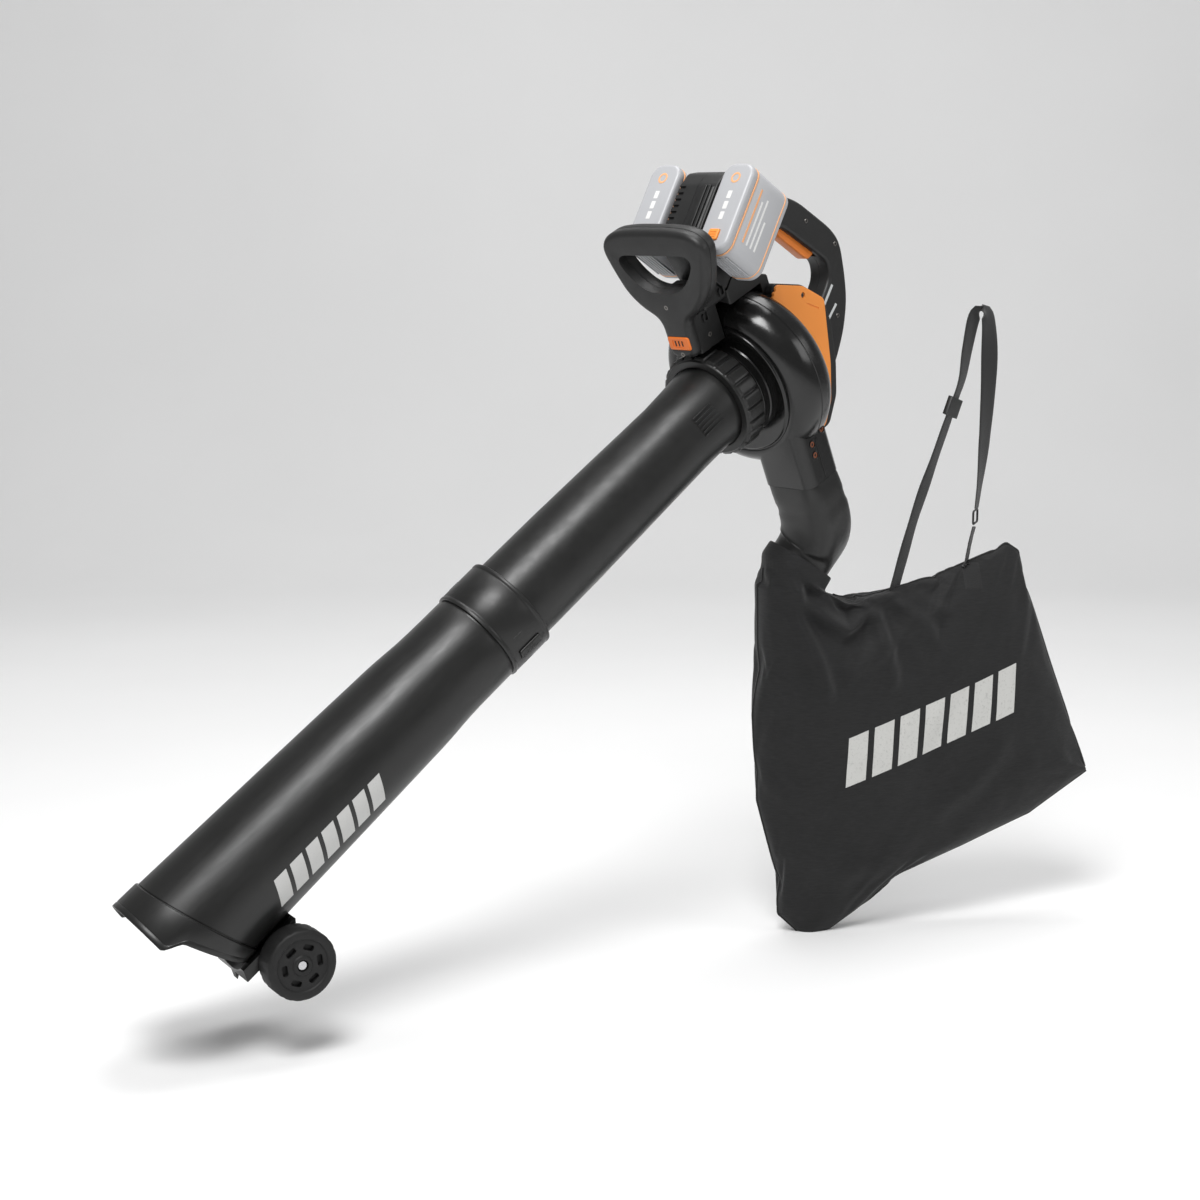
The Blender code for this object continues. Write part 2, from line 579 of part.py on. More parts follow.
def strap_parts(paint):
    ribbon("shoulder_strap", STRAP_ROUTE, lambda k: webbing_side(strap_turn(k)), paint["webbing"], BAG)
    ribbon("strap_tab", TAB_ROUTE, lambda k: webbing_side(STRAP_TURN[1]), paint["webbing"], BAG)
    at = BAG @ Matrix.Translation((RING_AT[0], 0, RING_AT[1])) @ rotation("Z", STRAP_TURN[1])
    (wide, tall), wire = RING_HALF, RING_WIRE
    outline = rounded(-wide, wide, -tall, tall, 0.003, 2)
    hoop = prism("strap_ring", outline, -0.0014, 0.0014, paint["grey"], at)
    hole = rounded(-wide + wire, wide - wire, -tall + wire, tall - wire, 0.002, 2)
    combine(hoop, [prism("hole", hole, -0.005, 0.005, paint["grey"], at)])

    below, above = STRAP_ROUTE[BUCKLE - 1], STRAP_ROUTE[BUCKLE + 1]
    lean = math.degrees(math.atan2(above[0] - below[0], above[1] - below[1]))
    x, z = STRAP_ROUTE[BUCKLE]
    slide = BAG @ Matrix.Translation((x, 0, z)) @ rotation("Y", lean) @ rotation("Z", strap_turn(BUCKLE))
    wide, thick, tall = BUCKLE_HALF
    outer = box("strap_buckle", (-wide, -thick, -tall), (wide, thick, tall), paint["grey"], slide, (0, 0, 0))
    low, high = (-wide + 0.0033, -0.0016, -0.02), (wide - 0.0033, 0.0016, 0.02)
    window = box("window", low, high, paint["grey"], slide)
    return combine(outer, [window])


# ---------------------------------------------------------------- front handle and neck, in the FAN frame
BAIL_OUTER = [(-0.020, 0.070), (-0.021, 0.118), (-0.045, 0.133), (-0.062, 0.152), (-0.073, 0.180),
              (-0.081, 0.207), (-0.074, 0.221), (-0.058, 0.229), (-0.030, 0.232), (0.030, 0.232),
              (0.058, 0.229), (0.074, 0.221), (0.081, 0.207),
              (0.073, 0.180), (0.062, 0.152), (0.045, 0.133), (0.021, 0.118), (0.020, 0.070)]
BAIL_HOLE = [(-0.033, 0.1610), (-0.016, 0.1540), (0.016, 0.1540), (0.033, 0.1610), (0.049, 0.1770),
             (0.058, 0.1930), (0.051, 0.2020), (-0.051, 0.2020), (-0.058, 0.1930), (-0.049, 0.1770)]
BAIL_X = (-0.014, -0.001, 0.014)  # front face, split, back face
BUTTON_Z, BUTTON_HALF = 0.090, (0.0165, 0.0085)
ACROSS = FAN @ swap("y", "-x", "z")   # prism outlines as (y, z), extruded along -x


def bail_front(paint):
    front, split, _ = BAIL_X
    shell = prism("front_handle_front_shell", BAIL_OUTER, -split + GAP / 2, -front, paint, ACROSS)
    soften_side(shell, ACROSS, -front, 0.005)
    hole = prism("hole", BAIL_HOLE, -0.02, 0.03, paint, ACROSS)
    wide, tall = BUTTON_HALF
    window = rounded(-wide - GAP, wide + GAP, BUTTON_Z - tall - GAP, BUTTON_Z + tall + GAP, 0.003, 2)
    return combine(shell, [hole, prism("window", window, -0.02, 0.03, paint, ACROSS)])


def bail_rear(paint):
    _, split, back = BAIL_X
    upper = [p for p in BAIL_OUTER if p[1] > 0.10]
    shell = prism("front_handle_rear_shell", upper, -back, -split - GAP / 2, paint, ACROSS)
    soften_side(shell, ACROSS, -back, 0.005)
    return combine(shell, [prism("hole", BAIL_HOLE, -0.02, 0.03, paint, ACROSS)])


def soften_side(obj, frame, y, width, segments=2):
    """Rounds the edges of the flat side at y in the given frame."""
    inverse = (place(frame)).inverted()
    work = bmesh.new()
    work.from_mesh(obj.data)
    edges = [e for e in work.edges
             if all(abs((inverse @ (v.co + obj.location)).y - y) < 1e-5 for v in e.verts)]
    bmesh.ops.bevel(work, geom=edges, offset=width, segments=segments, affect="EDGES", profile=0.5,
                    clamp_overlap=True)
    work.to_mesh(obj.data)
    work.free()
    obj.data.set_sharp_from_angle(angle=math.radians(40))
    return obj


def release_button(paint):
    wide, tall = BUTTON_HALF
    outline = rounded(-wide, wide, BUTTON_Z - tall, BUTTON_Z + tall, 0.003, 2)
    button = prism("release_button", outline, 0.0045, 0.0150, paint, ACROSS, (0, 0.010, BUTTON_Z))
    soften_side(button, ACROSS, 0.0150, 0.0012, 1)
    dish = box("dish", (-0.008, 0.0142, BUTTON_Z - 0.0045), (0.008, 0.02, BUTTON_Z + 0.0045), paint, ACROSS)
    return combine(button, [dish])


def coil(name, length, radius, wire, turns, paint, frame):
    """A compression spring along z, as one swept solid."""
    per_turn, around = 8, 5
    rings = []
    for k in range(turns * per_turn + 1):
        a = 2 * math.pi * k / per_turn
        z = wire + (length - 2 * wire) * k / (turns * per_turn)
        out = Vector((math.cos(a), math.sin(a), 0))
        middle = out * radius + Vector((0, 0, z))
        rings.append([tuple(middle + out * wire * math.cos(b) + Vector((0, 0, wire * math.sin(b))))
                      for b in (2 * math.pi * i / around for i in range(around))])
    verts, faces = stitch(rings, False)
    return make(name, verts, faces, paint, frame, None, 60)


NECK = [(-0.0008, 0.0700), (-0.0008, 0.1168), (0.0144, 0.1168), (0.0144, 0.1455), (0.0395, 0.1455),
        (0.0428, 0.1413), (0.0546, 0.1249), (0.0546, 0.1125), (0.0424, 0.1125), (0.0424, 0.0700)]
SHOULDER = [(0.0144, 0.1180), (0.0144, 0.1455), (0.0395, 0.1455), (0.0428, 0.1413), (0.0546, 0.1249),
            (0.0546, 0.1180)]      # the wider upper part
NECK_Y, SHOULDER_Y, HALF_GAP = 0.0185, 0.0285, 0.00015


def neck(paint):
    """The casing between the front handle, the battery tower and the fan housing."""
    def half(word, sign):
        shell = prism("neck_" + word, NECK, *span(sign, HALF_GAP, NECK_Y), paint, FAN)
        combine(shell, [prism("wide", SHOULDER, *span(sign, HALF_GAP, SHOULDER_Y), paint, FAN)], "UNION")
        pocket = box("pocket", (-0.01, -0.0055, 0.0845), (0.0130, 0.0055, 0.0955), paint, FAN)
        cavity = box("cavity", (0.0200, -0.0150, 0.0760), (0.0390, 0.0150, 0.1080), paint, FAN)
        return combine(shell, [pocket, cavity])
    return both_sides(half)


# ---------------------------------------------------------------- battery tower and packs, in the PACK frame
TOWER = [(0.1380, 0.1446), (0.2150, 0.1446), (0.2330, 0.1390), (0.2440, 0.1240), (0.2440, 0.0960),
         (0.2360, 0.0790), (0.2200, 0.0700), (0.1180, 0.0700), (0.1180, 0.0900)]
TOWER_CAVITY = [(0.1440, 0.1380), (0.2300, 0.1380), (0.2300, 0.0760), (0.1240, 0.0760), (0.1240, 0.0900)]
RAIL_CENTRE, RAIL_X, RAIL_START = 0.109, (0.1500, 0.2200), 0.1350
TOWER_SLOTS = 9
PACK_CAP, TRIM_W, FOOT_Y = 0.0108, 0.0022, 0.0300
LATCH_AT = (0.1480, 0.0570)       # along the pack and outward, on its front cap


def tower(paint):
    """Two half shells with a rail pair on each side; slots on the right front edge, a ridge on the left."""
    def half(word, sign):
        shell = prism("tower_" + word, TOWER, *span(sign, HALF_GAP, TOWER_Y), paint, PACK)
        combine(shell, [prism("cavity", TOWER_CAVITY, *span(sign, -0.005, TOWER_Y - 0.003), paint, PACK)])
        extras = []
        for side in (-1, 1):
            outer = RAIL_CENTRE + side * 0.0210
            web = sorted((RAIL_CENTRE + side * 0.0180, outer))
            lip = sorted((RAIL_CENTRE + side * 0.0130, outer))
            y0, y1 = span(sign, TOWER_Y - 0.0005, 0.0337)
            extras.append(box("rail", (RAIL_START, y0, web[0]), (RAIL_X[1], y1, web[1]), paint, PACK))
            y0, y1 = span(sign, 0.0322, 0.0337)
            extras.append(box("lip", (RAIL_START, y0, lip[0]), (RAIL_X[1], y1, lip[1]), paint, PACK))
        if sign < 0:
            extras.append(box("ridge", (0.1400, -0.0225, 0.1440), (0.2140, -0.0120, 0.1476), paint, PACK))
        combine(shell, extras, "UNION")
        if sign > 0:
            starts = [0.1440 + 0.0082 * k for k in range(TOWER_SLOTS)]
            slots = [box("slot", (x, 0.0185, 0.1416), (x + 0.0036, 0.04, 0.150), paint, PACK) for x in starts]
            combine(shell, slots)
        return shell
    return both_sides(half)


def terminal_block(word, sign, paint):
    y0, y1 = span(sign, TOWER_Y + GAP, 0.0318)
    block = box("terminal_block_" + word, (0.1340, y0, 0.0970), (0.1490, y1, 0.1210), paint, PACK)
    return soften(block, 0.0006, 1)


def pack_section(inset):
    return rounded(PACK_X[0] + inset, PACK_X[1] - inset, PACK_Y[0] + inset, PACK_Y[1] - inset,
                   PACK_CORNER - inset, 4)


def pack_frame(sign):
    """x along the rails, y across the pack towards its front cap, z outward from the tower."""
    outward = "y" if sign > 0 else "-y"
    return PACK @ swap("x", "z", outward)


def side_frame(sign):
    """x along the rails, y outward from the tower, z towards the front cap."""
    return PACK @ swap("x", "y" if sign > 0 else "-y", "z")


def pack(word, sign, paint):
    """A battery pack: case with its slide foot, front cap, two trims, release latch and five cells."""
    frame = pack_frame(sign)
    n0, n1 = PACK_N
    origin = (PACK_X[0], (n0 + n1) / 2, PACK_Y[0])
    high = n1 - PACK_CAP
    name = "pack_" + word + "_"
    top = high - TRIM_W - 2 * GAP
    case = prism(name + "case", pack_section(0), n0, top, paint["pack"], frame, origin)
    soften_side(case, frame, n0, 0.0035)
    hollow = prism("hollow", pack_section(0.0025), n0 + 0.0025, n1, paint["pack"], frame)
    foot = box("foot", (RAIL_X[0], FOOT_Y, RAIL_CENTRE - 0.0175), (RAIL_X[1], 0.0318, RAIL_CENTRE + 0.0175),
               paint["pack"], side_frame(sign))
    stem = box("stem", (RAIL_X[0] + 0.001, 0.0313, RAIL_CENTRE - 0.0125),
               (RAIL_X[1] - 0.001, PACK_Y[0] + 0.001, RAIL_CENTRE + 0.0125), paint["pack"], side_frame(sign))
    combine(foot, [stem], "UNION")
    combine(case, [hollow])
    combine(case, [foot], "UNION")

    cap = prism(name + "front_cap", pack_section(0), high, n1, paint["pack"], frame, origin)
    soften_side(cap, frame, n1, 0.0035)
    combine(cap, [prism("hollow", pack_section(0.0025), high - 0.01, n1 - 0.0025, paint["pack"], frame)])
    lx, ly = LATCH_AT
    window = rounded(lx - 0.0073, lx + 0.0073, ly - 0.0078, ly + 0.0078, 0.002, 2)
    combine(cap, [prism("window", window, high, n1 + 0.01, paint["pack"], frame)])

    low = top + GAP
    trim = prism(name + "trim", pack_section(-0.0004), low, low + TRIM_W, paint["trim"], frame, origin)
    combine(trim, [prism("hole", pack_section(0.0024), n0, n1, paint["trim"], frame)])

    latch = prism(name + "latch", rounded(lx - 0.0069, lx + 0.0069, ly - 0.0074, ly + 0.0074, 0.002, 2),
                  n1 - 0.0024, n1 + 0.0026, paint["orange"], frame, (lx, n1, ly))
    soften_side(latch, frame, n1 + 0.0026, 0.001, 1)
    low, high = (0.1420, 0.0520, 0.1425), (0.2310, 0.0620, 0.1433)
    strip = box(name + "cells", low, high, paint["cell"], side_frame(sign))
    cells = []
    for k in range(5):
        at = frame @ Matrix.Translation((0.1485 + 0.0190 * k, 0, 0.0570)) @ swap("y", "z", "x")
        cells.append(rod("cell", 0.0770, 0.1430, 0.0091, paint["cell"], at, 10))
    return combine(strip, cells, "UNION")


# ---------------------------------------------------------------- rear handle and body, in the HEAD frame
HANDLE = [(0.0588, 0.2430), (0.1000, 0.2480), (0.1390, 0.2410), (0.2060, 0.2070), (0.2240, 0.1900),
          (0.2350, 0.1500), (0.2400, 0.1180), (0.2350, 0.0800), (0.2200, 0.0400), (0.1950, 0.0000),
          (0.1700, 0.0100), (0.1750, 0.0950), (0.1980, 0.1330), (0.2040, 0.1480), (0.2000, 0.1650),
          (0.1870, 0.1730), (0.1170, 0.2070), (0.1000, 0.2100), (0.0400, 0.2080)]
BODY = [(0.0632, 0.1310), (0.0690, 0.1435), (0.1190, 0.1410), (0.1600, 0.1245), (0.1765, 0.0950),
        (0.1880, 0.0450), (0.1900, 0.0050), (0.1780, -0.0300), (0.1480, -0.0455), (0.1352, -0.0236),
        (0.0699, 0.1183)]
COVER = [(0.0615, 0.1270), (0.0700, 0.1420), (0.1180, 0.1395), (0.1580, 0.1235), (0.1640, 0.0920),
         (0.1730, 0.0450), (0.1755, 0.0000), (0.1660, -0.0300), (0.1470, -0.0430), (0.1354, -0.0236),
         (0.0701, 0.1183)]
SADDLE = [(0.0549, 0.1000), (0.0549, 0.1380), (0.0716, 0.1385), (0.1280, 0.1110), (0.1280, 0.0850),
          (0.1127, 0.0850)]       # in the FAN frame, over the top of the fan housing
SADDLE_Y = 0.0300
COVER_SCREWS = ((0.1180, 0.1285), (0.1620, -0.0180))
TOWER_REAR = 0.0697               # the tower's rear face, across the battery rails
TRIGGER = [(-0.0070, 0.0060), (0.0780, 0.0060), (0.0780, -0.0020), (0.0735, -0.0110), (0.0680, -0.0135),
           (0.0100, -0.0115), (0.0040, -0.0090), (-0.0070, -0.0015)]
PLUNGER_AT = 0.040


def handle_half(word, sign, paint):
    """One clamshell half: the grip bar and spine, united with the motor casing."""
    y0, y1 = 0.00015, HANDLE_Y
    loop = prism("rear_handle_" + word, HANDLE, *span(sign, y0, y1), paint, HEAD)
    soften_side(loop, HEAD, sign * y1, 0.007, 2)
    casing = prism("casing", BODY, *span(sign, y0, BODY_Y), paint, HEAD)
    saddle = prism("saddle", SADDLE, *span(sign, y0, SADDLE_Y), paint, FAN)
    combine(saddle, [rod("fan", -0.01, FAN_BACK + GAP, FAN_R + 2 * GAP, paint, FAN, 44)])
    combine(loop, [casing, saddle], "UNION")
    x0, x1, r = MOTOR_CAVITY
    cavity = rod("cavity", x0 - 0.02, x1, r, paint, FAN, 24)
    behind_tower = box("tower_face", (0.10, -0.06, TOWER_REAR - 0.0005), (0.30, 0.06, 0.15), paint, PACK)
    slot = box("slot", (-0.0090, -0.0085, -0.04), (0.0845, 0.0085, 0.0185), paint, GRIP_BAR)
    nook = box("nook", (0.0275, -0.0085, 0.0100), (0.0535, 0.0085, 0.0300), paint, GRIP_BAR)
    pin = box("pin_hole", (-0.0016, -0.0120, -0.0016), (0.0016, 0.0120, 0.0016), paint, GRIP_BAR)
    board = box("board_bay", (0.1560, -0.0300, 0.0080), (0.1700, 0.0300, 0.0300), paint, HEAD)
    return combine(loop, [cavity, behind_tower, slot, nook, pin, board])


def side_cover(word, sign, paint):
    cover = prism("side_cover_" + word, COVER, *span(sign, BODY_Y + GAP, BODY_Y + 0.0035), paint, HEAD)
    soften_side(cover, HEAD, sign * (BODY_Y + 0.0035), 0.0018, 2)
    holes = [rod("hole", *span(sign, BODY_Y, BODY_Y + 0.02), 0.0024, paint,
                 Matrix.Translation((x, 0, z)) @ swap("y", "z", "x"), 10) for x, z in COVER_SCREWS]
    return combine(cover, holes)


def trigger(paint):
    lever = prism("trigger", TRIGGER, -0.0080, 0.0080, paint, GRIP_BAR, (0, 0, 0))
    soften_side(lever, GRIP_BAR, 0.0080, 0.0015, 1)
    soften_side(lever, GRIP_BAR, -0.0080, 0.0015, 1)
    pivot = GRIP_BAR @ swap("y", "z", "x")
    return combine(lever, [rod("bore", -0.02, 0.02, 0.0014, paint, pivot, 10)])


def switch_parts(paint):
    pivot = GRIP_BAR @ swap("y", "z", "x")
    rod("trigger_pin", -0.0115, 0.0115, 0.0011, paint["steel"], pivot, 10)
    body = box("power_switch", (0.0300, -0.0060, 0.0205), (0.0500, 0.0060, 0.0297), paint["grey"], GRIP_BAR)
    low, high = (PLUNGER_AT - 0.0020, -0.0020, 0.01), (PLUNGER_AT + 0.0020, 0.0020, 0.0275)
    combine(body, [box("bore", low, high, paint["grey"], GRIP_BAR)])
    low, high = (PLUNGER_AT - 0.0016, -0.0016, 0.0065), (PLUNGER_AT + 0.0016, 0.0016, 0.0205)
    box("switch_plunger", low, high, paint["orange"], GRIP_BAR, (PLUNGER_AT, 0, 0.01))
    spring_at = HEAD @ Matrix.Translation(GRIP_BAR @ Vector((0.0660, 0, 0.0068)))
    coil("trigger_spring", 0.0100, 0.0026, 0.0004, 4, paint["steel"], spring_at)
    button_spring = FAN @ Matrix.Translation((-0.0012, 0, BUTTON_Z)) @ rotation("Y", 90)
    coil("button_spring", 0.0136, 0.0036, 0.0004, 5, paint["steel"], button_spring)
    board = box("control_board", (0.1575, -0.0280, 0.0100), (0.1592, 0.0280, 0.0285), paint["board"], HEAD)
    return board


def clear_scene():
    for obj in list(bpy.data.objects):
        bpy.data.objects.remove(obj)


def build():
    clear_scene()
    paint = make_materials()
    lower_tube(paint["satin"])
    tube_collar(paint["satin"])
    collar_latch(paint["satin"])
    upper_tube(paint["satin"])
    wheel_bracket(paint["satin"])
    both_sides(lambda word, sign: wheel(word, sign, paint["satin"]))
    wheel_axle(paint["steel"])
    front_fan_shell(paint["gloss"])
    rear_fan_shell(paint["gloss"])
    lock_ring(paint["satin"])
    spinning_parts(paint)
    motor(paint)
    outlet_elbow(paint["satin"])
    bag_cuff(paint["webbing"])
    catch_bag(paint["cloth"])
    strap_parts(paint)
    bail_front(paint["grey"])
    bail_rear(paint["grey"])
    release_button(paint["orange"])
    neck(paint["grey"])
    tower(paint["grey"])
    both_sides(lambda word, sign: terminal_block(word, sign, paint["grey"]))
    both_sides(lambda word, sign: pack(word, sign, paint))
    both_sides(lambda word, sign: handle_half(word, sign, paint["grey"]))
    both_sides(lambda word, sign: side_cover(word, sign, paint["orange"]))
    trigger(paint["orange"])
    switch_parts(paint)


build()
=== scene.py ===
"""Leaf vacuum mulcher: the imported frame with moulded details, procedural materials and a sewn catch bag.

Shapes are made in the CAD's own local frames, around the centre of the fan inlet. Their meshes are then moved
into the row frame, whose origin is the middle of the rear grip.
"""
import math

import bmesh
import bpy
from mathutils import Matrix, Vector, noise


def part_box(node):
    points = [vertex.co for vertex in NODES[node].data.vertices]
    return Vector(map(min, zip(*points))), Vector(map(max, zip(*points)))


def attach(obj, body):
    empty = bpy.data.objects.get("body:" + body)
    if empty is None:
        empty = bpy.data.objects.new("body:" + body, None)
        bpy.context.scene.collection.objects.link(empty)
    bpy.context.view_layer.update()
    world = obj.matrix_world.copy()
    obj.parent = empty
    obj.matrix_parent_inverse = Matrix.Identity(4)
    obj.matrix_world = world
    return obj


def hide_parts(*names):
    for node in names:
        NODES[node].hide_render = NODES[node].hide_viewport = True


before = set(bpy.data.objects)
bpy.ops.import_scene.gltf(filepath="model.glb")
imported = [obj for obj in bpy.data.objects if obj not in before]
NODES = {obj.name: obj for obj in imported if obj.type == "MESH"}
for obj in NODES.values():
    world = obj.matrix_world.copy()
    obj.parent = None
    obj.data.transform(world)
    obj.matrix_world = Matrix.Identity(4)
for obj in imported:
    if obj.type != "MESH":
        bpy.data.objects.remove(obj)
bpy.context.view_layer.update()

# ---------------------------------------------------------------- the CAD's own frames and sizes (metres)
GRIP = Vector((0.120, 0.0, 0.225))
FAN_TILT, TUBE_TILT, TUBE_YAW, PACK_TILT = 24.8, 38.8, -15.0, 60.4
FAN_R, FAN_BACK, SPLIT, WALL, GAP = 0.1105, 0.112, 0.078, 0.0025, 0.0003
DUCT_Y, DUCT_X, DUCT_END = (-0.080, -0.003), (0.046, 0.106), -0.135
RING_R, RING_X = 0.0655, (-0.004, 0.030)
COLLAR_X = (-0.398, -0.340)
TUBE_WALL, MOUTH_X = 0.0022, -0.893
WHEEL_X, WHEEL_Z, WHEEL_R, WHEEL_Y = -0.798, -0.0935, 0.0398, (0.048, 0.080)
PACK_X, PACK_N, PACK_Y, PACK_CORNER = (0.128, 0.241), (0.073, 0.148), (0.0345, 0.080), 0.016
PACK_CAP, TRIM_W = 0.0108, 0.0022
TOWER_Y, HANDLE_Y, BODY_Y = 0.0295, 0.0165, 0.0418
CUFF_R, CUFF_AT, CUFF_DIRECTION, CUFF_MIDDLE = 0.0385, (-0.032, 0, -0.202), (-0.55, 0, -0.835), 0.006
ELBOW_POLES, ELBOW_SPIGOT, ELBOW_HALF = (0.072, 0.046), 0.013, (0.0310, 0.0395)
STRAP_W, STRAP_THICK = 0.025, 0.0016


def rotation(axis, degrees):
    return Matrix.Rotation(math.radians(degrees), 4, axis)


def swap(first, second, third):
    """A frame whose x, y, z axes are the named axes of its parent."""
    axes = {"x": (1, 0, 0), "y": (0, 1, 0), "z": (0, 0, 1), "-x": (-1, 0, 0), "-y": (0, -1, 0)}
    return Matrix([axes[first], axes[second], axes[third]]).transposed().to_4x4()


HEAD = Matrix.Identity(4)
FAN = rotation("Y", -FAN_TILT)
TUBE = rotation("Z", TUBE_YAW) @ rotation("Y", -TUBE_TILT)
PACK = rotation("Y", -PACK_TILT)
BAG = Matrix.Translation((0.185, -0.030, 0.0)) @ rotation("Z", -30)
WHEEL = TUBE @ Matrix.Translation((WHEEL_X, 0, WHEEL_Z)) @ rotation("Z", 90)
ACROSS = FAN @ swap("y", "-x", "z")   # outlines as (y, z), depth along -x


def place(local):
    """A local frame as the row frame sees it."""
    return Matrix.Translation(-GRIP) @ local


# ---------------------------------------------------------------- node-based materials
BAR_SHARE = 0.76                  # how much of its pitch a printed bar fills


class Shader:
    """A Principled material and the few node patterns the scene needs, in metres of the row frame.

    With a local frame given, the coordinates are turned into that frame first."""

    def __init__(self, name, roughness, metallic=0.0, local=None):
        self.material = bpy.data.materials.new(name)
        self.material.use_nodes = True
        self.tree = self.material.node_tree
        self.out = self.tree.nodes["Principled BSDF"]
        self.out.inputs["Roughness"].default_value = roughness
        self.out.inputs["Metallic"].default_value = metallic
        self.place = self.tree.nodes.new("ShaderNodeTexCoord").outputs["Object"]
        if local:
            turn = self.tree.nodes.new("ShaderNodeMapping")
            turn.vector_type = "TEXTURE"
            turn.inputs["Location"].default_value = place(local).translation
            turn.inputs["Rotation"].default_value = place(local).to_euler()
            self.link(self.place, turn.inputs["Vector"])
            self.place = turn.outputs["Vector"]

    def link(self, output, socket):
        self.tree.links.new(output, socket)

    def noise(self, scale, detail=3.0, roughness=0.5, stretch=None):
        node = self.tree.nodes.new("ShaderNodeTexNoise")
        node.inputs["Scale"].default_value = scale
        node.inputs["Detail"].default_value = detail
        node.inputs["Roughness"].default_value = roughness
        self.link(self.stretched(stretch) if stretch else self.place, node.inputs["Vector"])
        return node.outputs["Fac"]

    def stretched(self, scale):
        node = self.tree.nodes.new("ShaderNodeVectorMath")
        node.operation = "MULTIPLY"
        node.inputs[1].default_value = scale
        self.link(self.place, node.inputs[0])
        return node.outputs[0]

    def part(self, axis):
        node = self.tree.nodes.new("ShaderNodeSeparateXYZ")
        self.link(self.place, node.inputs[0])
        return node.outputs[axis]

    def math(self, operation, first, second=0.0, third=None):
        node = self.tree.nodes.new("ShaderNodeMath")
        node.operation = operation
        for socket, value in zip(node.inputs, (first, second, third)):
            if value is None:
                continue
            if isinstance(value, (int, float)):
                socket.default_value = value
            else:
                self.link(value, socket)
        return node.outputs[0]

    def remap(self, value, low, high, start=0.3, end=0.7):
        node = self.tree.nodes.new("ShaderNodeMapRange")
        node.inputs["From Min"].default_value = start
        node.inputs["From Max"].default_value = end
        node.inputs["To Min"].default_value = low
        node.inputs["To Max"].default_value = high
        self.link(value, node.inputs["Value"])
        return node.outputs[0]

    def mix(self, factor, first, second):
        node = self.tree.nodes.new("ShaderNodeMix")
        node.data_type = "RGBA"
        self.link(factor, node.inputs["Factor"])
        for index, value in ((6, first), (7, second)):
            if isinstance(value, tuple):
                node.inputs[index].default_value = (*value, 1)
            else:
                self.link(value, node.inputs[index])
        return node.outputs[2]

    def colour(self, value):
        self.link(value, self.out.inputs["Base Color"])

    def roughness(self, value):
        self.link(value, self.out.inputs["Roughness"])

    def bump(self, height, strength, distance):
        node = self.tree.nodes.new("ShaderNodeBump")
        node.inputs["Strength"].default_value = strength
        node.inputs["Distance"].default_value = distance
        self.link(height, node.inputs["Height"])
        self.link(node.outputs[0], self.out.inputs["Normal"])
        return node

    def plus(self, first, second):
        return self.math("ADD", first, second)

    def times(self, first, second):
        return self.math("MULTIPLY", first, second)

    def between(self, value, low, high):
        return self.times(self.math("GREATER_THAN", value, low), self.math("LESS_THAN", value, high))

    def bars(self, u, v, lean, size, pitch):
        """1 on a row of slanted bars on the near side and 0 elsewhere; the row starts at u = v = 0."""
        slant = self.plus(u, self.times(v, lean))
        ink = self.math("LESS_THAN", self.math("FRACT", self.math("DIVIDE", slant, pitch)), BAR_SHARE)
        inside = self.times(self.between(slant, 0.0, size[0]), self.between(v, 0.0, size[1]))
        return self.times(self.times(inside, ink), self.math("LESS_THAN", self.part("Y"), 0.0))


def shade(colour, factor):
    return tuple(c * factor for c in colour)


def plastic(name, colour, roughness, grain=0.35, grain_scale=1400.0, spread=0.16, specular=0.5):
    """Moulded plastic: fine sparked grain, slow colour drift, handling marks in the gloss."""
    s = Shader(name, roughness)
    s.out.inputs["Specular IOR Level"].default_value = specular
    drift = s.remap(s.noise(9.0, 4.0), 0.0, 1.0)
    s.colour(s.mix(drift, shade(colour, 1 - spread), shade(colour, 1 + spread)))
    marks = s.remap(s.noise(55.0, 6.0, 0.65), roughness - 0.05, roughness + 0.07)
    s.roughness(marks)
    s.bump(s.noise(grain_scale, 2.0), grain, 0.00012)
    return s.material


def metal(name, colour, roughness, stretch=(60.0, 900.0, 900.0)):
    """Turned or rolled metal with fine lines."""
    s = Shader(name, roughness, 1.0)
    lines = s.noise(1.0, 3.0, 0.6, stretch)
    s.colour(s.mix(s.remap(lines, 0.0, 1.0), shade(colour, 0.82), shade(colour, 1.08)))
    s.roughness(s.remap(lines, roughness - 0.06, roughness + 0.12))
    s.bump(lines, 0.12, 0.0001)
    return s.material


def woven(name, colour, pitch, sheen, local, twill):
    """Twill weave in the xz plane of a local frame, with slubs and a soft sheen."""
    s = Shader(name, 0.78, local=local)
    s.out.inputs["Sheen Weight"].default_value = sheen
    s.out.inputs["Sheen Roughness"].default_value = 0.5
    s.out.inputs["Specular IOR Level"].default_value = 0.35
    turn = 2 * math.pi / pitch
    u, v = s.part("X"), s.part("Z")
    warp = s.math("SINE", s.times(u, turn))
    weft = s.math("SINE", s.times(s.plus(v, s.times(u, twill)), turn))
    threads = s.times(warp, weft)
    slub = s.noise(1.0, 3.0, 0.6, (90.0, 90.0, 700.0))
    height = s.plus(s.times(threads, 0.5), s.times(slub, 0.9))
    tone = s.plus(s.remap(threads, -0.22, 0.22, -1.0, 1.0), s.remap(s.noise(14.0, 4.0), 0.30, 0.70))
    cloth = s.mix(tone, shade(colour, 0.62), shade(colour, 1.35))
    s.bump(height, 0.35, pitch * 0.22)
    s.roughness(s.remap(slub, 0.70, 0.86))
    return s, cloth


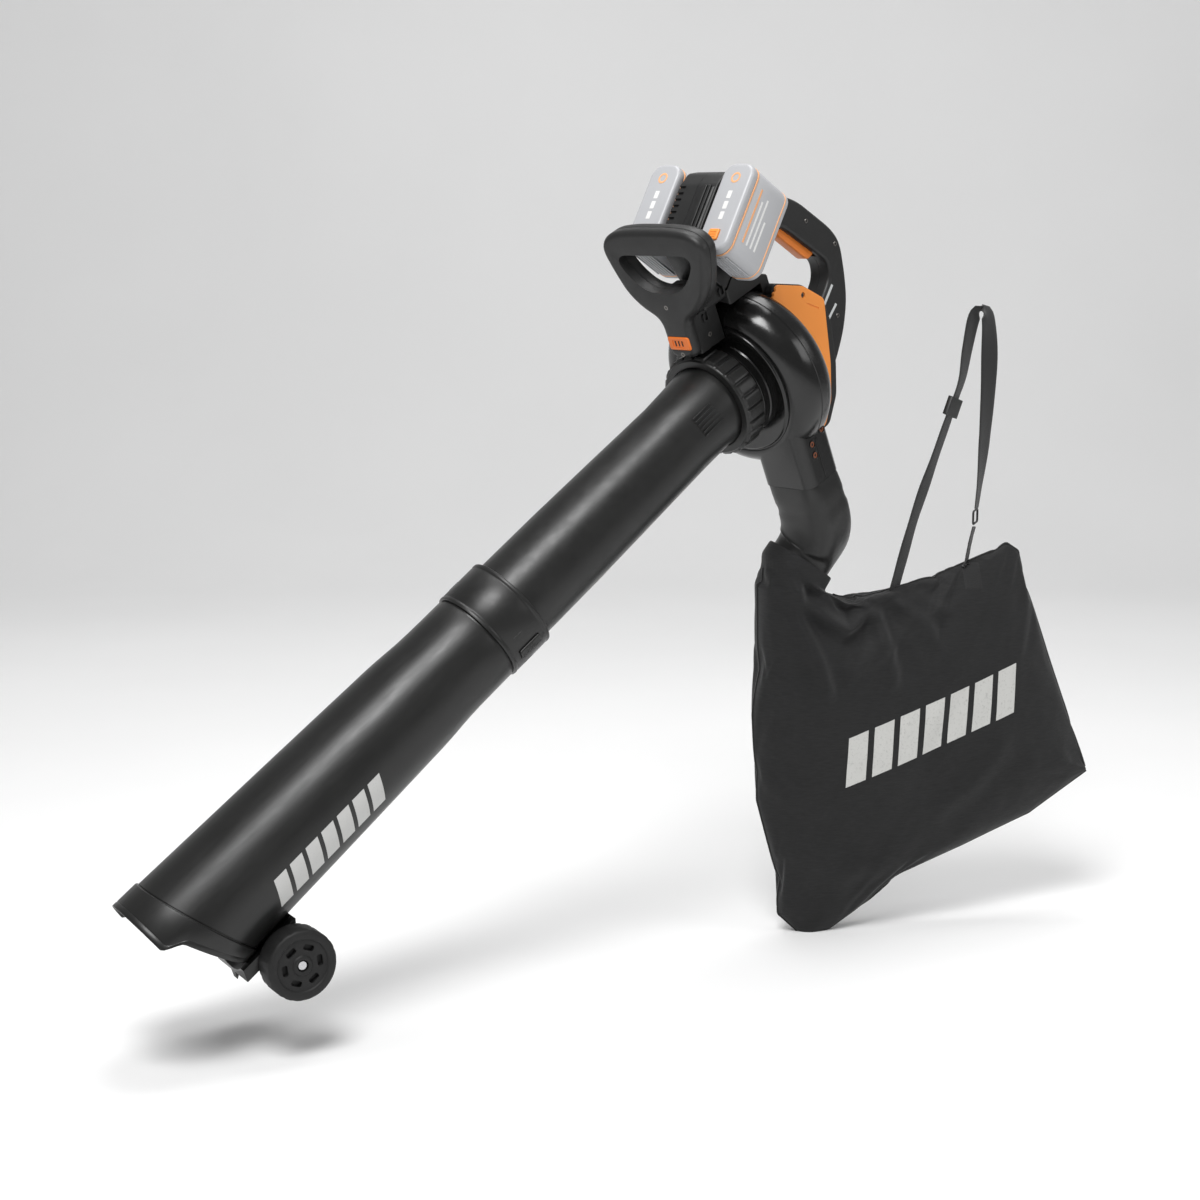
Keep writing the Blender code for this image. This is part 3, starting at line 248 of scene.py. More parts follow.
SATIN = plastic("satin_black", (0.0105, 0.0105, 0.0102), 0.36, 0.30, specular=0.42)
GLOSS = plastic("gloss_black", (0.0050, 0.0050, 0.0049), 0.19, 0.05, 500.0, specular=0.5)
GREY = plastic("dark_grey", (0.0145, 0.0145, 0.0145), 0.44, 0.50, 1000.0, specular=0.4)
RUBBER = plastic("grip_rubber", (0.0100, 0.0100, 0.0100), 0.58, 0.8, 700.0, specular=0.35)
ORANGE = plastic("orange", (0.90, 0.30, 0.052), 0.42, 0.30, spread=0.06)
TRIGGER_ORANGE = plastic("trigger_orange", (0.80, 0.215, 0.022), 0.42, 0.35, spread=0.06)
BUTTON_ORANGE = plastic("button_orange", (0.72, 0.16, 0.016), 0.42, 0.35, spread=0.06)
SHELL = plastic("pack_grey", (0.42, 0.425, 0.44), 0.36, 0.25, spread=0.05)
TRIM = plastic("pale_orange", (0.84, 0.42, 0.20), 0.42, 0.25, spread=0.06)
PALE = plastic("pale_stripe", (0.56, 0.58, 0.58), 0.45, 0.25, spread=0.06)
INK = plastic("light_ink", (0.72, 0.72, 0.71), 0.55, 0.15, spread=0.05)
DARK = plastic("recess_black", (0.012, 0.012, 0.012), 0.70, 0.2)
STEEL = metal("steel", (0.56, 0.56, 0.57), 0.32)
ZINC = metal("screw_zinc", (0.20, 0.19, 0.18), 0.38, (900.0, 900.0, 900.0))
RUST = metal("screw_copper", (0.34, 0.13, 0.075), 0.42, (900.0, 900.0, 900.0))
COPPER = metal("copper", (0.70, 0.33, 0.16), 0.35, (900.0, 60.0, 60.0))
BOARD = plastic("board_green", (0.018, 0.13, 0.05), 0.42, 0.2)
CELL = plastic("cell_blue", (0.05, 0.14, 0.32), 0.40, 0.1)


# ---------------------------------------------------------------- mesh helpers
SHARP = 38.0                      # edges sharper than this, in degrees, stay sharp


def make(name, verts, faces, paint, local, body="housing", sharp=SHARP, nodes=()):
    """A piece from vertices in a local frame, riding on a body and replacing the named CAD nodes.

    Its mesh is moved into the row frame, so that the object has no turn of its own and its box fits it."""
    mesh = bpy.data.meshes.new(name)
    mesh.from_pydata([tuple(v) for v in verts], [], faces)
    work = bmesh.new()
    work.from_mesh(mesh)
    bmesh.ops.remove_doubles(work, verts=work.verts, dist=1e-6)
    bmesh.ops.recalc_face_normals(work, faces=work.faces)
    work.to_mesh(mesh)
    work.free()
    mesh.materials.append(paint)
    mesh.transform(place(local))
    obj = bpy.data.objects.new(name, mesh)
    bpy.context.scene.collection.objects.link(obj)
    smooth(obj, sharp)
    if body:
        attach(obj, body)
    if nodes:
        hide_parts(*nodes)
    return obj


def smooth(obj, sharp=SHARP):
    obj.data.shade_smooth()
    obj.data.set_sharp_from_angle(angle=math.radians(sharp))


def stitch(rings, closed=False, caps=True):
    """Faces between successive rings of equal length."""
    count = len(rings[0])
    verts = [v for ring in rings for v in ring]
    faces = []
    for i in range(len(rings) if closed else len(rings) - 1):
        a, b = i * count, ((i + 1) % len(rings)) * count
        for k in range(count):
            n = (k + 1) % count
            faces.append((a + k, a + n, b + n, b + k))
    if not closed and caps:
        faces.append(tuple(range(count)))
        faces.append(tuple(range((len(rings) - 1) * count, len(rings) * count)))
    return verts, faces


def circle(x, r, count):
    """A ring of points around the x axis; the radius is one number, or one for each point."""
    radii = r if isinstance(r, list) else [r] * count
    turns = [2 * math.pi * k / count for k in range(count)]
    return [(x, r * math.cos(a), r * math.sin(a)) for a, r in zip(turns, radii)]


def turned(name, profile, paint, local, body="housing", count=72, closed=True, nodes=(),
           sharp=SHARP):
    verts, faces = stitch([circle(x, r, count) for x, r in profile], closed)
    return make(name, verts, faces, paint, local, body, sharp, nodes)


def prism(name, outline, low, high, paint, local, body="housing", nodes=()):
    """A polygon of (x, z) points extruded along y."""
    verts, faces = stitch([[(x, y, z) for x, z in outline] for y in (low, high)])
    return make(name, verts, faces, paint, local, body, nodes=nodes)


def box(name, low, high, paint, local, body="housing"):
    outline = [(low[0], low[2]), (high[0], low[2]), (high[0], high[2]), (low[0], high[2])]
    return prism(name, outline, low[1], high[1], paint, local, body)


def plug(outline, low, high, local):
    """A prism for combine(), which deletes it afterwards."""
    return prism("plug", outline, low, high, DARK, local, None)


def block(low, high, local):
    """A box for combine()."""
    return box("block", low, high, DARK, local, None)


def drill(profile, local, count):
    """A turned solid for combine()."""
    return turned("drill", profile, DARK, local, None, count, False)


def rounded(x0, x1, z0, z1, r, steps=6):
    points = []
    for cx, cz, start in ((x1 - r, z0 + r, -90), (x1 - r, z1 - r, 0), (x0 + r, z1 - r, 90),
                          (x0 + r, z0 + r, 180)):
        for k in range(steps + 1):
            a = math.radians(start + 90 * k / steps)
            points.append((cx + r * math.cos(a), cz + r * math.sin(a)))
    return points


def apply(obj):
    """Bakes the modifiers into the mesh."""
    graph = bpy.context.evaluated_depsgraph_get()
    baked = bpy.data.meshes.new_from_object(obj.evaluated_get(graph))
    old = obj.data
    obj.modifiers.clear()
    obj.data = baked
    bpy.data.meshes.remove(old)


def bevel(obj, width, segments=2, bake=True):
    """Rounds the edges that turn by more than 32 degrees."""
    step = obj.modifiers.new("bevel", "BEVEL")
    step.width = width
    step.segments = segments
    step.limit_method = "ANGLE"
    step.angle_limit = math.radians(32)
    step.harden_normals = True
    step.use_clamp_overlap = True
    if bake:
        apply(obj)
    return obj


def combine(obj, others, operation="DIFFERENCE"):
    """Cuts, unites or intersects obj with helper shapes, which are then deleted."""
    for other in others:
        step = obj.modifiers.new("boolean", "BOOLEAN")
        step.operation = operation
        step.solver = "EXACT"
        step.object = other
        apply(obj)
        bpy.data.objects.remove(other)
    smooth(obj)
    return obj


def curve_points(points, count, closed=True):
    """Points on a Catmull-Rom curve through the given ones, evenly spaced along it."""
    points = [Vector(p) for p in points]
    n = len(points)
    fine = []
    for i in range(n if closed else n - 1):
        if closed:
            a, b, c, d = (points[(i + k) % n] for k in (-1, 0, 1, 2))
        else:
            a, b, c, d = (points[min(max(i + k, 0), n - 1)] for k in (-1, 0, 1, 2))
        for k in range(16):
            t = k / 16
            fine.append(0.5 * ((2 * b) + (c - a) * t + (2 * a - 5 * b + 4 * c - d) * t * t
                               + (3 * b - a - 3 * c + d) * t ** 3))
    fine.append(fine[0].copy() if closed else points[-1].copy())
    reach = [0.0]
    for a, b in zip(fine, fine[1:]):
        reach.append(reach[-1] + (b - a).length)
    out, i = [], 0
    spans = count if closed else count - 1
    for k in range(count):
        want = reach[-1] * k / spans
        while i < len(reach) - 2 and reach[i + 1] < want:
            i += 1
        step = reach[i + 1] - reach[i]
        out.append(fine[i].lerp(fine[i + 1], (want - reach[i]) / step if step > 0 else 0))
    return out


def dress(node, paint, width=0.0, segments=2):
    """A CAD node keeps its mesh and gets a finish, and a rounded edge if a width is given."""
    obj = NODES[node]
    obj.data.materials.clear()
    obj.data.materials.append(paint)
    smooth(obj)
    if width:
        weld = obj.modifiers.new("weld", "WELD")
        weld.merge_threshold = 0.00001
        bevel(obj, width, segments, False)


def screw(name, at, r, paint=ZINC):
    """A sunk screw head with a six-lobed socket; x points out of the surface."""
    count = 36

    def lobes(k, size):
        return size * (0.82 + 0.18 * math.cos(6 * 2 * math.pi * k / count))

    rings = []
    for x, size in ((-0.0016, 1.0), (0.0, 1.0), (0.0004, 0.9), (0.0005, 0.62)):
        rings.append(circle(x, r * size, count))
    for x in (0.0004, -0.0010):
        ring = circle(x, 1.0, count)
        rings.append([(p[0], p[1] * lobes(k, r * 0.5), p[2] * lobes(k, r * 0.5)) for k, p in enumerate(ring)])
    verts, faces = stitch(rings)
    return make(name, verts, faces, paint, at)


def side_screws(name, spots, proud, sign, local, r):
    """Screws at (x, z, depth) on the faces at one side of the middle plane."""
    for k, (x, z, depth) in enumerate(spots):
        at = facing(x, sign * (depth + proud), z, local, "y" if sign > 0 else "-y")
        screw("%s_%d" % (name, k), at, r)


def facing(x, y, z, local, direction="-y"):
    """A frame at a point of a local frame whose x axis points along the named direction."""
    turn = {"-y": rotation("Z", -90), "y": rotation("Z", 90), "-x": rotation("Z", 180),
            "-z": rotation("Y", 90)}[direction]
    return local @ Matrix.Translation((x, y, z)) @ turn


def fillet(points, cut, steps=6):
    """Rounds every corner of a closed outline, taking at most the given length off each side."""
    out = []
    count = len(points)
    for i in range(count):
        before, corner, after = Vector(points[i - 1]), Vector(points[i]), Vector(points[(i + 1) % count])
        back, ahead = before - corner, after - corner
        start = corner + back.normalized() * min(cut, back.length * 0.48)
        end = corner + ahead.normalized() * min(cut, ahead.length * 0.48)
        for k in range(steps + 1):
            t = k / steps
            out.append(tuple(start * (1 - t) ** 2 + corner * 2 * t * (1 - t) + end * t * t))
    return out


def soften_side(obj, local, y, width, segments=4):
    """Rounds the sharp edges of the flat side at y in the given frame."""
    to_local = local.inverted() @ Matrix.Translation(GRIP) @ obj.matrix_world
    work = bmesh.new()
    work.from_mesh(obj.data)
    edges = []
    for edge in work.edges:
        flat = all(abs((to_local @ v.co).y - y) < 1e-5 for v in edge.verts)
        if flat and len(edge.link_faces) == 2 and edge.calc_face_angle() > math.radians(50):
            edges.append(edge)
    bmesh.ops.bevel(work, geom=edges, offset=width, segments=segments, affect="EDGES", profile=0.5,
                    clamp_overlap=True)
    work.to_mesh(obj.data)
    work.free()
    smooth(obj)
    return obj


def span(sign, inner, outer):
    """The range of y between two depths on one side of the middle plane."""
    return sorted((sign * inner, sign * outer))


def ease(t):
    """A smooth step from 0 to 1."""
    t = min(1.0, max(0.0, t))
    return t * t * (3 - 2 * t)


def sides():
    return (("left", -1), ("right", 1))


# ---------------------------------------------------------------- suction tube and wheels
LOWER_PROFILE = [(-0.352, 0.0563), (-0.4003, 0.0563), (-0.4005, 0.0574), (-0.4012, 0.0577), (-0.430, 0.0578),
                 (-0.452, 0.0580), (-0.470, 0.0586), (-0.486, 0.0597), (-0.502, 0.0608), (-0.518, 0.0615),
                 (-0.540, 0.0620), (-0.600, 0.0636), (-0.680, 0.0656), (-0.760, 0.0674)]
LIP_BLEND = (62.0, 74.0)          # where the lip's forward part falls back, in degrees from the top
TREAD_DEPTH = 0.0004
TUBE_BARS_AT = (-0.770, -0.036)
TUBE_BARS_SIZE, TUBE_BARS_PITCH, TUBE_BARS_LEAN = (0.168, 0.034), 0.0240, -0.35


def seam_x(height):
    return -0.838 - 0.022 * height


def lip_x(angle):
    folded = abs((math.degrees(angle) - 90 + 180) % 360 - 180)
    hooded = -0.863 - 0.026 * math.cos(math.radians(folded)) * 1.15
    share = ease((folded - LIP_BLEND[0]) / (LIP_BLEND[1] - LIP_BLEND[0]))
    return MOUTH_X * (1 - share) + hooded * share


def tube_paint():
    """The tube's satin plastic, with a generic row of slanted bars printed on its near side."""
    s = Shader("tube_plastic", 0.36, local=TUBE)
    s.out.inputs["Specular IOR Level"].default_value = 0.42
    drift = s.remap(s.noise(9.0, 4.0), 0.0, 1.0)
    base = s.mix(drift, (0.0088, 0.0088, 0.0086), (0.0124, 0.0124, 0.012))
    u = s.math("SUBTRACT", s.part("X"), TUBE_BARS_AT[0])
    v = s.math("SUBTRACT", s.part("Z"), TUBE_BARS_AT[1])
    mask = s.bars(u, v, TUBE_BARS_LEAN, TUBE_BARS_SIZE, TUBE_BARS_PITCH)
    worn = s.remap(s.noise(500.0, 4.0, 0.7), 0.80, 1.0, 0.25, 0.42)
    s.colour(s.mix(s.times(mask, worn), base, (0.52, 0.52, 0.51)))
    scuffs = s.noise(1.0, 6.0, 0.6, (24.0, 120.0, 120.0))
    s.roughness(s.remap(scuffs, 0.31, 0.42))
    s.bump(s.noise(1500.0, 2.0), 0.22, 0.0001)
    return s.material


def lower_tube():
    count = 144
    angles = [2 * math.pi * k / count for k in range(count)]

    def ring(x_of, r):
        return [(x_of(a), r * math.cos(a), r * math.sin(a)) for a in angles]

    outer = [circle(x, r, count) for x, r in LOWER_PROFILE]
    for dx, r in ((0.0060, 0.0696), (0.0026, 0.0697), (0.0018, 0.0690), (0.0008, 0.0690), (0.0002, 0.0714),
                  (-0.0005, 0.0721), (-0.0030, 0.0723)):
        outer.append(ring(lambda a, dx=dx: seam_x(math.sin(a)) + dx, r))
    for dx, r in ((0.0085, 0.0726), (0.0070, 0.0722), (0.0056, 0.0727), (0.0012, 0.0728), (0.0003, 0.0724),
                  (0.0, 0.0716), (0.0003, 0.0708), (0.0012, 0.0704)):
        outer.append(ring(lambda a, dx=dx: lip_x(a) + dx, r))
    inner = [ring(lambda a: seam_x(math.sin(a)), 0.0676)]
    inner += [circle(x, r - TUBE_WALL, count) for x, r in reversed(LOWER_PROFILE)]
    verts, faces = stitch(outer + inner, True)
    return make("lower_tube_skin", verts, faces, tube_paint(), TUBE, nodes=("lower_tube",), sharp=30)


def tube_collar():
    x0, x1 = COLLAR_X
    low, high = 0.0566, 0.0600
    rim = ((0.0, low), (0.0, high - 0.0010), (0.0005, high - 0.0003), (0.0020, high), (0.0040, high - 0.0001),
           (0.0052, high - 0.0008), (0.0062, high - 0.0009), (0.0074, high - 0.0004))
    profile = [(x0 + x, r) for x, r in rim] + [(x1 - x, r) for x, r in reversed(rim)]
    collar = turned("collar_sleeve", profile, SATIN, TUBE, count=144, nodes=("tube_collar",), sharp=24)
    latch_at = TUBE @ rotation("X", 120)
    window = block((x0 + 0.013, -0.0072, 0.052), (x1 - 0.013, 0.0072, 0.066), latch_at)
    combine(collar, [window])
    dress("collar_latch", SATIN, 0.0006)
    for k in range(3):
        x = x0 + 0.0235 + 0.0040 * k
        bevel(box("latch_rib_%d" % k, (x, -0.0045, 0.0619), (x + 0.0012, 0.0045, 0.0627), SATIN, latch_at,
                  "collar_latch"), 0.0003)
    for turn in (96, 146, 214, 334):
        bevel(box("collar_mark_%d" % turn, (x0 + 0.016, -0.0011, 0.0590), (x0 + 0.030, 0.0011, 0.0599), SATIN,
                  TUBE @ rotation("X", turn)), 0.0003)


def upper_tube():
    count = 144
    to_fan = TUBE.inverted() @ FAN
    stations = [(-0.392, 0.0538), (-0.320, 0.0536), (-0.250, 0.0532), (-0.150, 0.0514), (-0.100, 0.0503),
                (-0.060, 0.0496)]
    outer = [circle(x, r, count) for x, r in stations]
    inner = [circle(x, r - TUBE_WALL, count) for x, r in stations]

    def fan_rings(*profile):
        return [[tuple(to_fan @ Vector(p)) for p in circle(x, r, count)] for x, r in profile]

    outer += fan_rings((-0.0120, 0.0513), (-0.006, 0.0517), (-0.0021, 0.0520), (-0.0016, 0.0524),
                       (-0.0013, 0.0545), (0.0030, 0.0545))
    inner += fan_rings((-0.006, 0.0494), (0.0030, 0.0498))
    verts, faces = stitch(outer + inner[::-1], True)
    make("upper_tube_skin", verts, faces, SATIN, TUBE, nodes=("upper_tube",), sharp=30)
    for k in range(6):
        bevel(prism("tube_rib_%d" % k, rounded(-0.046, -0.016, 0.0480, 0.0526, 0.0015, 3), -0.0009, 0.0009,
                    SATIN, TUBE @ rotation("X", 63 + 5.6 * k)), 0.0004)


def wheels():
    count = 120
    for word, sign in sides():
        inner_side, outer_side = (WHEEL_Y if sign > 0 else (-WHEEL_Y[0], -WHEEL_Y[1]))
        step = 0.004 * sign
        bore = 0.003 + GAP
        inner = ((0.0, bore), (0.0, 0.0118), (0.1, 0.0122), (1.0, 0.014), (1.0, 0.032), (0.1, 0.0337),
                 (0.0, 0.0345), (0.0, WHEEL_R - 0.0030), (0.3, WHEEL_R - 0.0010))
        outer = ((0.3, WHEEL_R - 0.0010), (0.05, WHEEL_R - 0.0026), (0.0, WHEEL_R - 0.0036), (0.0, 0.0310),
                 (0.1, 0.0300), (0.5, 0.0288), (0.5, 0.0118), (0.1, 0.0104), (0.0, 0.0096), (0.0, 0.0072),
                 (0.1, 0.0066), (1.2, 0.0065), (1.2, bore))
        rings = [circle(inner_side + step * depth, r, count) for depth, r in inner]
        tread = [WHEEL_R - (TREAD_DEPTH if k % 6 < 2 else 0.0) for k in range(count)]
        rings += [circle(x, tread, count) for x in (inner_side + step * 0.8, outer_side - step * 0.8)]
        rings += [circle(outer_side - step * depth, r, count) for depth, r in outer]
        verts, faces = stitch(rings, True)
        wheel = make("wheel_%s_tyre" % word, verts, faces, RUBBER, WHEEL, "wheel_" + word,
                     nodes=("wheel_" + word,), sharp=30)
        slots = []
        for k in range(6):
            turn = WHEEL @ rotation("X", 60 * k) @ swap("z", "x", "y")
            low, high = sorted((outer_side - step * 1.8, outer_side + step))
            slots.append(plug(rounded(0.0172, 0.0238, -0.0062, 0.0062, 0.0022), low, high, turn))
        combine(wheel, slots)
    dress("wheel_axle", STEEL)
    dress("wheel_bracket", SATIN, 0.0007)
    for sign in (-1, 1):
        foot = facing(-0.770, 0.030 * sign, -0.0650, TUBE, "-z")
        screw("bracket_screw_%s" % ("right" if sign > 0 else "left"), foot, 0.0032)


# ---------------------------------------------------------------- fan housing and lock ring, in the FAN frame
DUCT_SCREWS = ((0.0880, -0.0836, -0.0726), (0.0690, -0.0800, -0.0840), (0.0690, -0.0800, -0.0985))
FAN_PROFILE = [(0.0440, 0.0560), (0.0436, 0.0660), (0.0431, 0.0770), (0.0430, 0.0812), (0.0436, 0.0822),
               (0.0448, 0.0828), (0.0456, 0.0838), (0.0456, 0.0850), (0.0449, 0.0862), (0.0444, 0.0880),
               (0.0448, 0.0910), (0.0464, 0.0950), (0.0488, 0.0986), (0.0522, 0.1020), (0.0566, 0.1052),
               (0.0618, 0.1079), (0.0672, 0.1096), (0.0730, 0.1104), (0.0768, 0.1105), (0.0774, 0.1098),
               (0.0786, 0.1098), (0.0792, 0.1105), (0.0850, 0.1105), (0.0900, 0.1103), (0.0950, 0.1092),
               (0.1000, 0.1068), (0.1040, 0.1044), (0.1076, 0.1006), (0.1104, 0.0958), (0.1120, 0.0900)]


def fan_form(inset):
    """The housing's outer form, or its hollow when inset: the turned disc joined with the outlet duct."""
    count = 168
    middle = 0.0775
    profile = []
    for x, r in FAN_PROFILE:
        shift = math.copysign(inset, middle - x) if abs(x - middle) > 0.02 else 0.0
        profile.append((x + shift, r - inset))
    body = turned("disc", profile, GLOSS, FAN, None, count, False)
    y0, y1 = DUCT_Y[0] + inset, DUCT_Y[1] - inset
    x0, x1 = DUCT_X[0] + inset, DUCT_X[1] - inset
    low = DUCT_END - (0.01 if inset else 0)
    outline = rounded(x0, x1, y0, y1, 0.014 - inset, 10)
    verts, faces = stitch([[(x, y, z) for x, y in outline] for z in (low, -0.010)])
    duct = make("duct", verts, faces, GLOSS, FAN, None)
    return combine(body, [duct], "UNION")


def fan_housing():
    shapes = {}
    for word, low, high in (("front", 0.0, SPLIT - GAP / 2), ("rear", SPLIT + GAP / 2, 0.2)):
        shell = fan_form(0)
        combine(shell, [fan_form(WALL)])
        keep = block((low, -0.2, -0.25), (high, 0.2, 0.25), FAN)
        shapes[word] = combine(shell, [keep], "INTERSECT")
    front, rear = shapes["front"], shapes["rear"]
    step = [(0.0036, 0.0540), (0.0040, 0.0535), (0.0318, 0.0535), (0.0320, 0.0596), (0.0326, 0.0602),
            (0.0420, 0.0606), (0.0440, 0.0618)]
    combine(front, [drill(step, FAN, 144)], "UNION")
    combine(front, [drill([(-0.02, 0.0505), (0.053, 0.0505)], FAN, 144)])
    combine(rear, [drill([(0.10, 0.0135), (0.122, 0.0135)], FAN, 64)])
    front.name, rear.name = "fan_front_moulding", "fan_rear_moulding"
    for obj, node in ((front, "front_fan_shell"), (rear, "rear_fan_shell")):
        smooth(obj, 28)
        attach(obj, "housing")
        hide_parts(node)


def duct_joint():
    """The screwed joint of the two shells down the duct's near face, with three sunk screws beside it."""
    face = DUCT_Y[0]
    lips = ((SPLIT - 0.0022, SPLIT - GAP / 2), (SPLIT + GAP / 2, SPLIT + 0.0022))
    for index, (low, high) in enumerate(lips):
        bevel(box("duct_lip_%d" % index, (low, face - 0.0008, DUCT_END + 0.002),
                  (high, face + 0.001, -0.0800), GLOSS, FAN), 0.0005)
    for index, (x, y, z) in enumerate(DUCT_SCREWS):
        at = facing(x, y, z, FAN)
        seat = [(-0.0030, 0.0052), (0.0006, 0.0052), (0.0009, 0.0048), (0.0006, 0.0043), (-0.0030, 0.0043)]
        turned("duct_screw_seat_%d" % index, seat, GLOSS, at, count=40)
        screw("duct_screw_%d" % index, at @ Matrix.Translation((-0.0004, 0, 0)), 0.0040, paint=RUST)


def lock_ring():
    pads, per_pad = 24, 12
    count = pads * per_pad
    x0, x1 = RING_X

    def ring(x, r, depth):
        """Deep over the first two points of a pad, shallow beside them."""
        dips = [1.0, 1.0, 0.18] + [0.0] * (per_pad - 4) + [0.18]
        return circle(x, [r - depth * dip for dip in dips] * pads, count)

    profile = ((x0, 0.0535, 0), (x0, 0.0606, 0), (x0 + 0.0006, 0.0614, 0), (x0 + 0.0022, 0.0622, 0),
               (x0 + 0.0030, 0.0640, 0.0014), (x0 + 0.0046, RING_R, 0.0026), (x0 + 0.0100, RING_R, 0.0026),
               (x1 - 0.0100, RING_R, 0.0026), (x1 - 0.0046, RING_R, 0.0026), (x1 - 0.0030, 0.0640, 0.0014),
               (x1 - 0.0022, 0.0622, 0), (x1 - 0.0006, 0.0616, 0), (x1, 0.0606, 0), (x1, 0.0550, 0),
               (x0 + 0.0022, 0.0550, 0), (x0 + 0.0022, 0.0535, 0))
    verts, faces = stitch([ring(*row) for row in profile], True)
    return make("lock_ring_grip", verts, faces, SATIN, FAN, "lock_ring", nodes=("lock_ring",), sharp=32)


# ---------------------------------------------------------------- outlet elbow
def elbow_path(steps):
    """Centres, directions, half sizes and squareness of the elbow's sections, from the duct to the bag."""
    x, y = sum(DUCT_X) / 2, sum(DUCT_Y) / 2
    start = FAN @ Vector((x, y, DUCT_END - GAP))
    down = (FAN.to_3x3() @ Vector((0, -0.12, -1))).normalized()
    end = BAG @ Vector(CUFF_AT)
    into = (BAG.to_3x3() @ Vector(CUFF_DIRECTION)).normalized()
    poles = (start, start + down * ELBOW_POLES[0], end - into * ELBOW_POLES[1], end)
    stations = []
    for k in range(steps + 1):
        t = k / steps
        weights = ((1 - t) ** 3, 3 * t * (1 - t) ** 2, 3 * t * t * (1 - t), t ** 3)
        slopes = (-(1 - t) ** 2, (1 - t) ** 2 - 2 * t * (1 - t), 2 * t * (1 - t) - t * t, t * t)
        centre = sum((w * p for w, p in zip(weights, poles)), Vector())
        ahead = sum((w * p for w, p in zip(slopes, poles)), Vector()).normalized()
        if k == 0:
            ahead = FAN.to_3x3() @ Vector((0, 0, -1))
        sizes = [a + (CUFF_R - a) * min(1, t * 1.25) for a in ELBOW_HALF]
        stations.append((centre, ahead, sizes, 0.50 + 0.14 * t + 0.36 * ease((t - 0.62) / 0.30)))
    stations.append((end + into * ELBOW_SPIGOT, into, [CUFF_R, CUFF_R], 1.0))
    return stations


def elbow_section(station, inset):
    count = 96
    centre, ahead, (half_x, half_y), power = station
    wide = FAN.to_3x3() @ Vector((1, 0, 0))
    wide = (wide - ahead * wide.dot(ahead)).normalized()
    deep = wide.cross(ahead)
    points = []
    for k in range(count):
        a = 2 * math.pi * k / count
        u = math.copysign(abs(math.cos(a)) ** power, math.cos(a)) * (half_x - inset)
        v = math.copysign(abs(math.sin(a)) ** power, math.sin(a)) * (half_y - inset)
        points.append(tuple(centre + wide * u + deep * v))
    return points


def outlet_elbow():
    stations = elbow_path(24)
    insets = [0.0007, 0.0001, 0.0, 0.0, 0.0009, 0.0009] + [0.0] * (len(stations) - 6)   # a rim and a groove
    outer = [elbow_section(s, i) for s, i in zip(stations, insets)]
    inner = [elbow_section(s, WALL) for s in stations]
    verts, faces = stitch(outer + inner[::-1], True)
    return make("elbow_moulding", verts, faces, SATIN, HEAD, nodes=("outlet_elbow",), sharp=40)


def cuff_frame():
    into = Vector(CUFF_DIRECTION).normalized()
    lean = math.degrees(math.atan2(-into.z, into.x))
    return BAG @ Matrix.Translation(Vector(CUFF_AT) + into * CUFF_MIDDLE) @ rotation("Y", lean)


def cuff_band():
    rim = ((0.0060, 0.0012), (0.0058, 0.0036), (0.0050, 0.0040), (0.0030, 0.0038))
    profile = [(-x, CUFF_R + r) for x, r in rim] + [(x, CUFF_R + r) for x, r in reversed(rim)]
    return turned("cuff_band", profile, WEBBING, cuff_frame(), count=96, nodes=("bag_cuff",), sharp=50)


# ---------------------------------------------------------------- front handle, release button, neck
BAIL_HALF = [(0.020, 0.070), (0.021, 0.118), (0.045, 0.133), (0.062, 0.152), (0.073, 0.180), (0.081, 0.207),
             (0.074, 0.221), (0.058, 0.229), (0.030, 0.232)]
BAIL_OUTER = [(-y, z) for y, z in BAIL_HALF] + BAIL_HALF[::-1]
BAIL_HOLE = [(-0.033, 0.1610), (-0.016, 0.1540), (0.016, 0.1540), (0.033, 0.1610), (0.049, 0.1770),
             (0.058, 0.1930), (0.051, 0.2020), (-0.051, 0.2020), (-0.058, 0.1930), (-0.049, 0.1770)]
BAIL_X = (-0.014, -0.001, 0.014)
BUTTON_Z, BUTTON_HALF = 0.090, (0.0165, 0.0085)
BAIL_SCREWS = ((0.0036, 0.1360), (0.0, 0.0755))


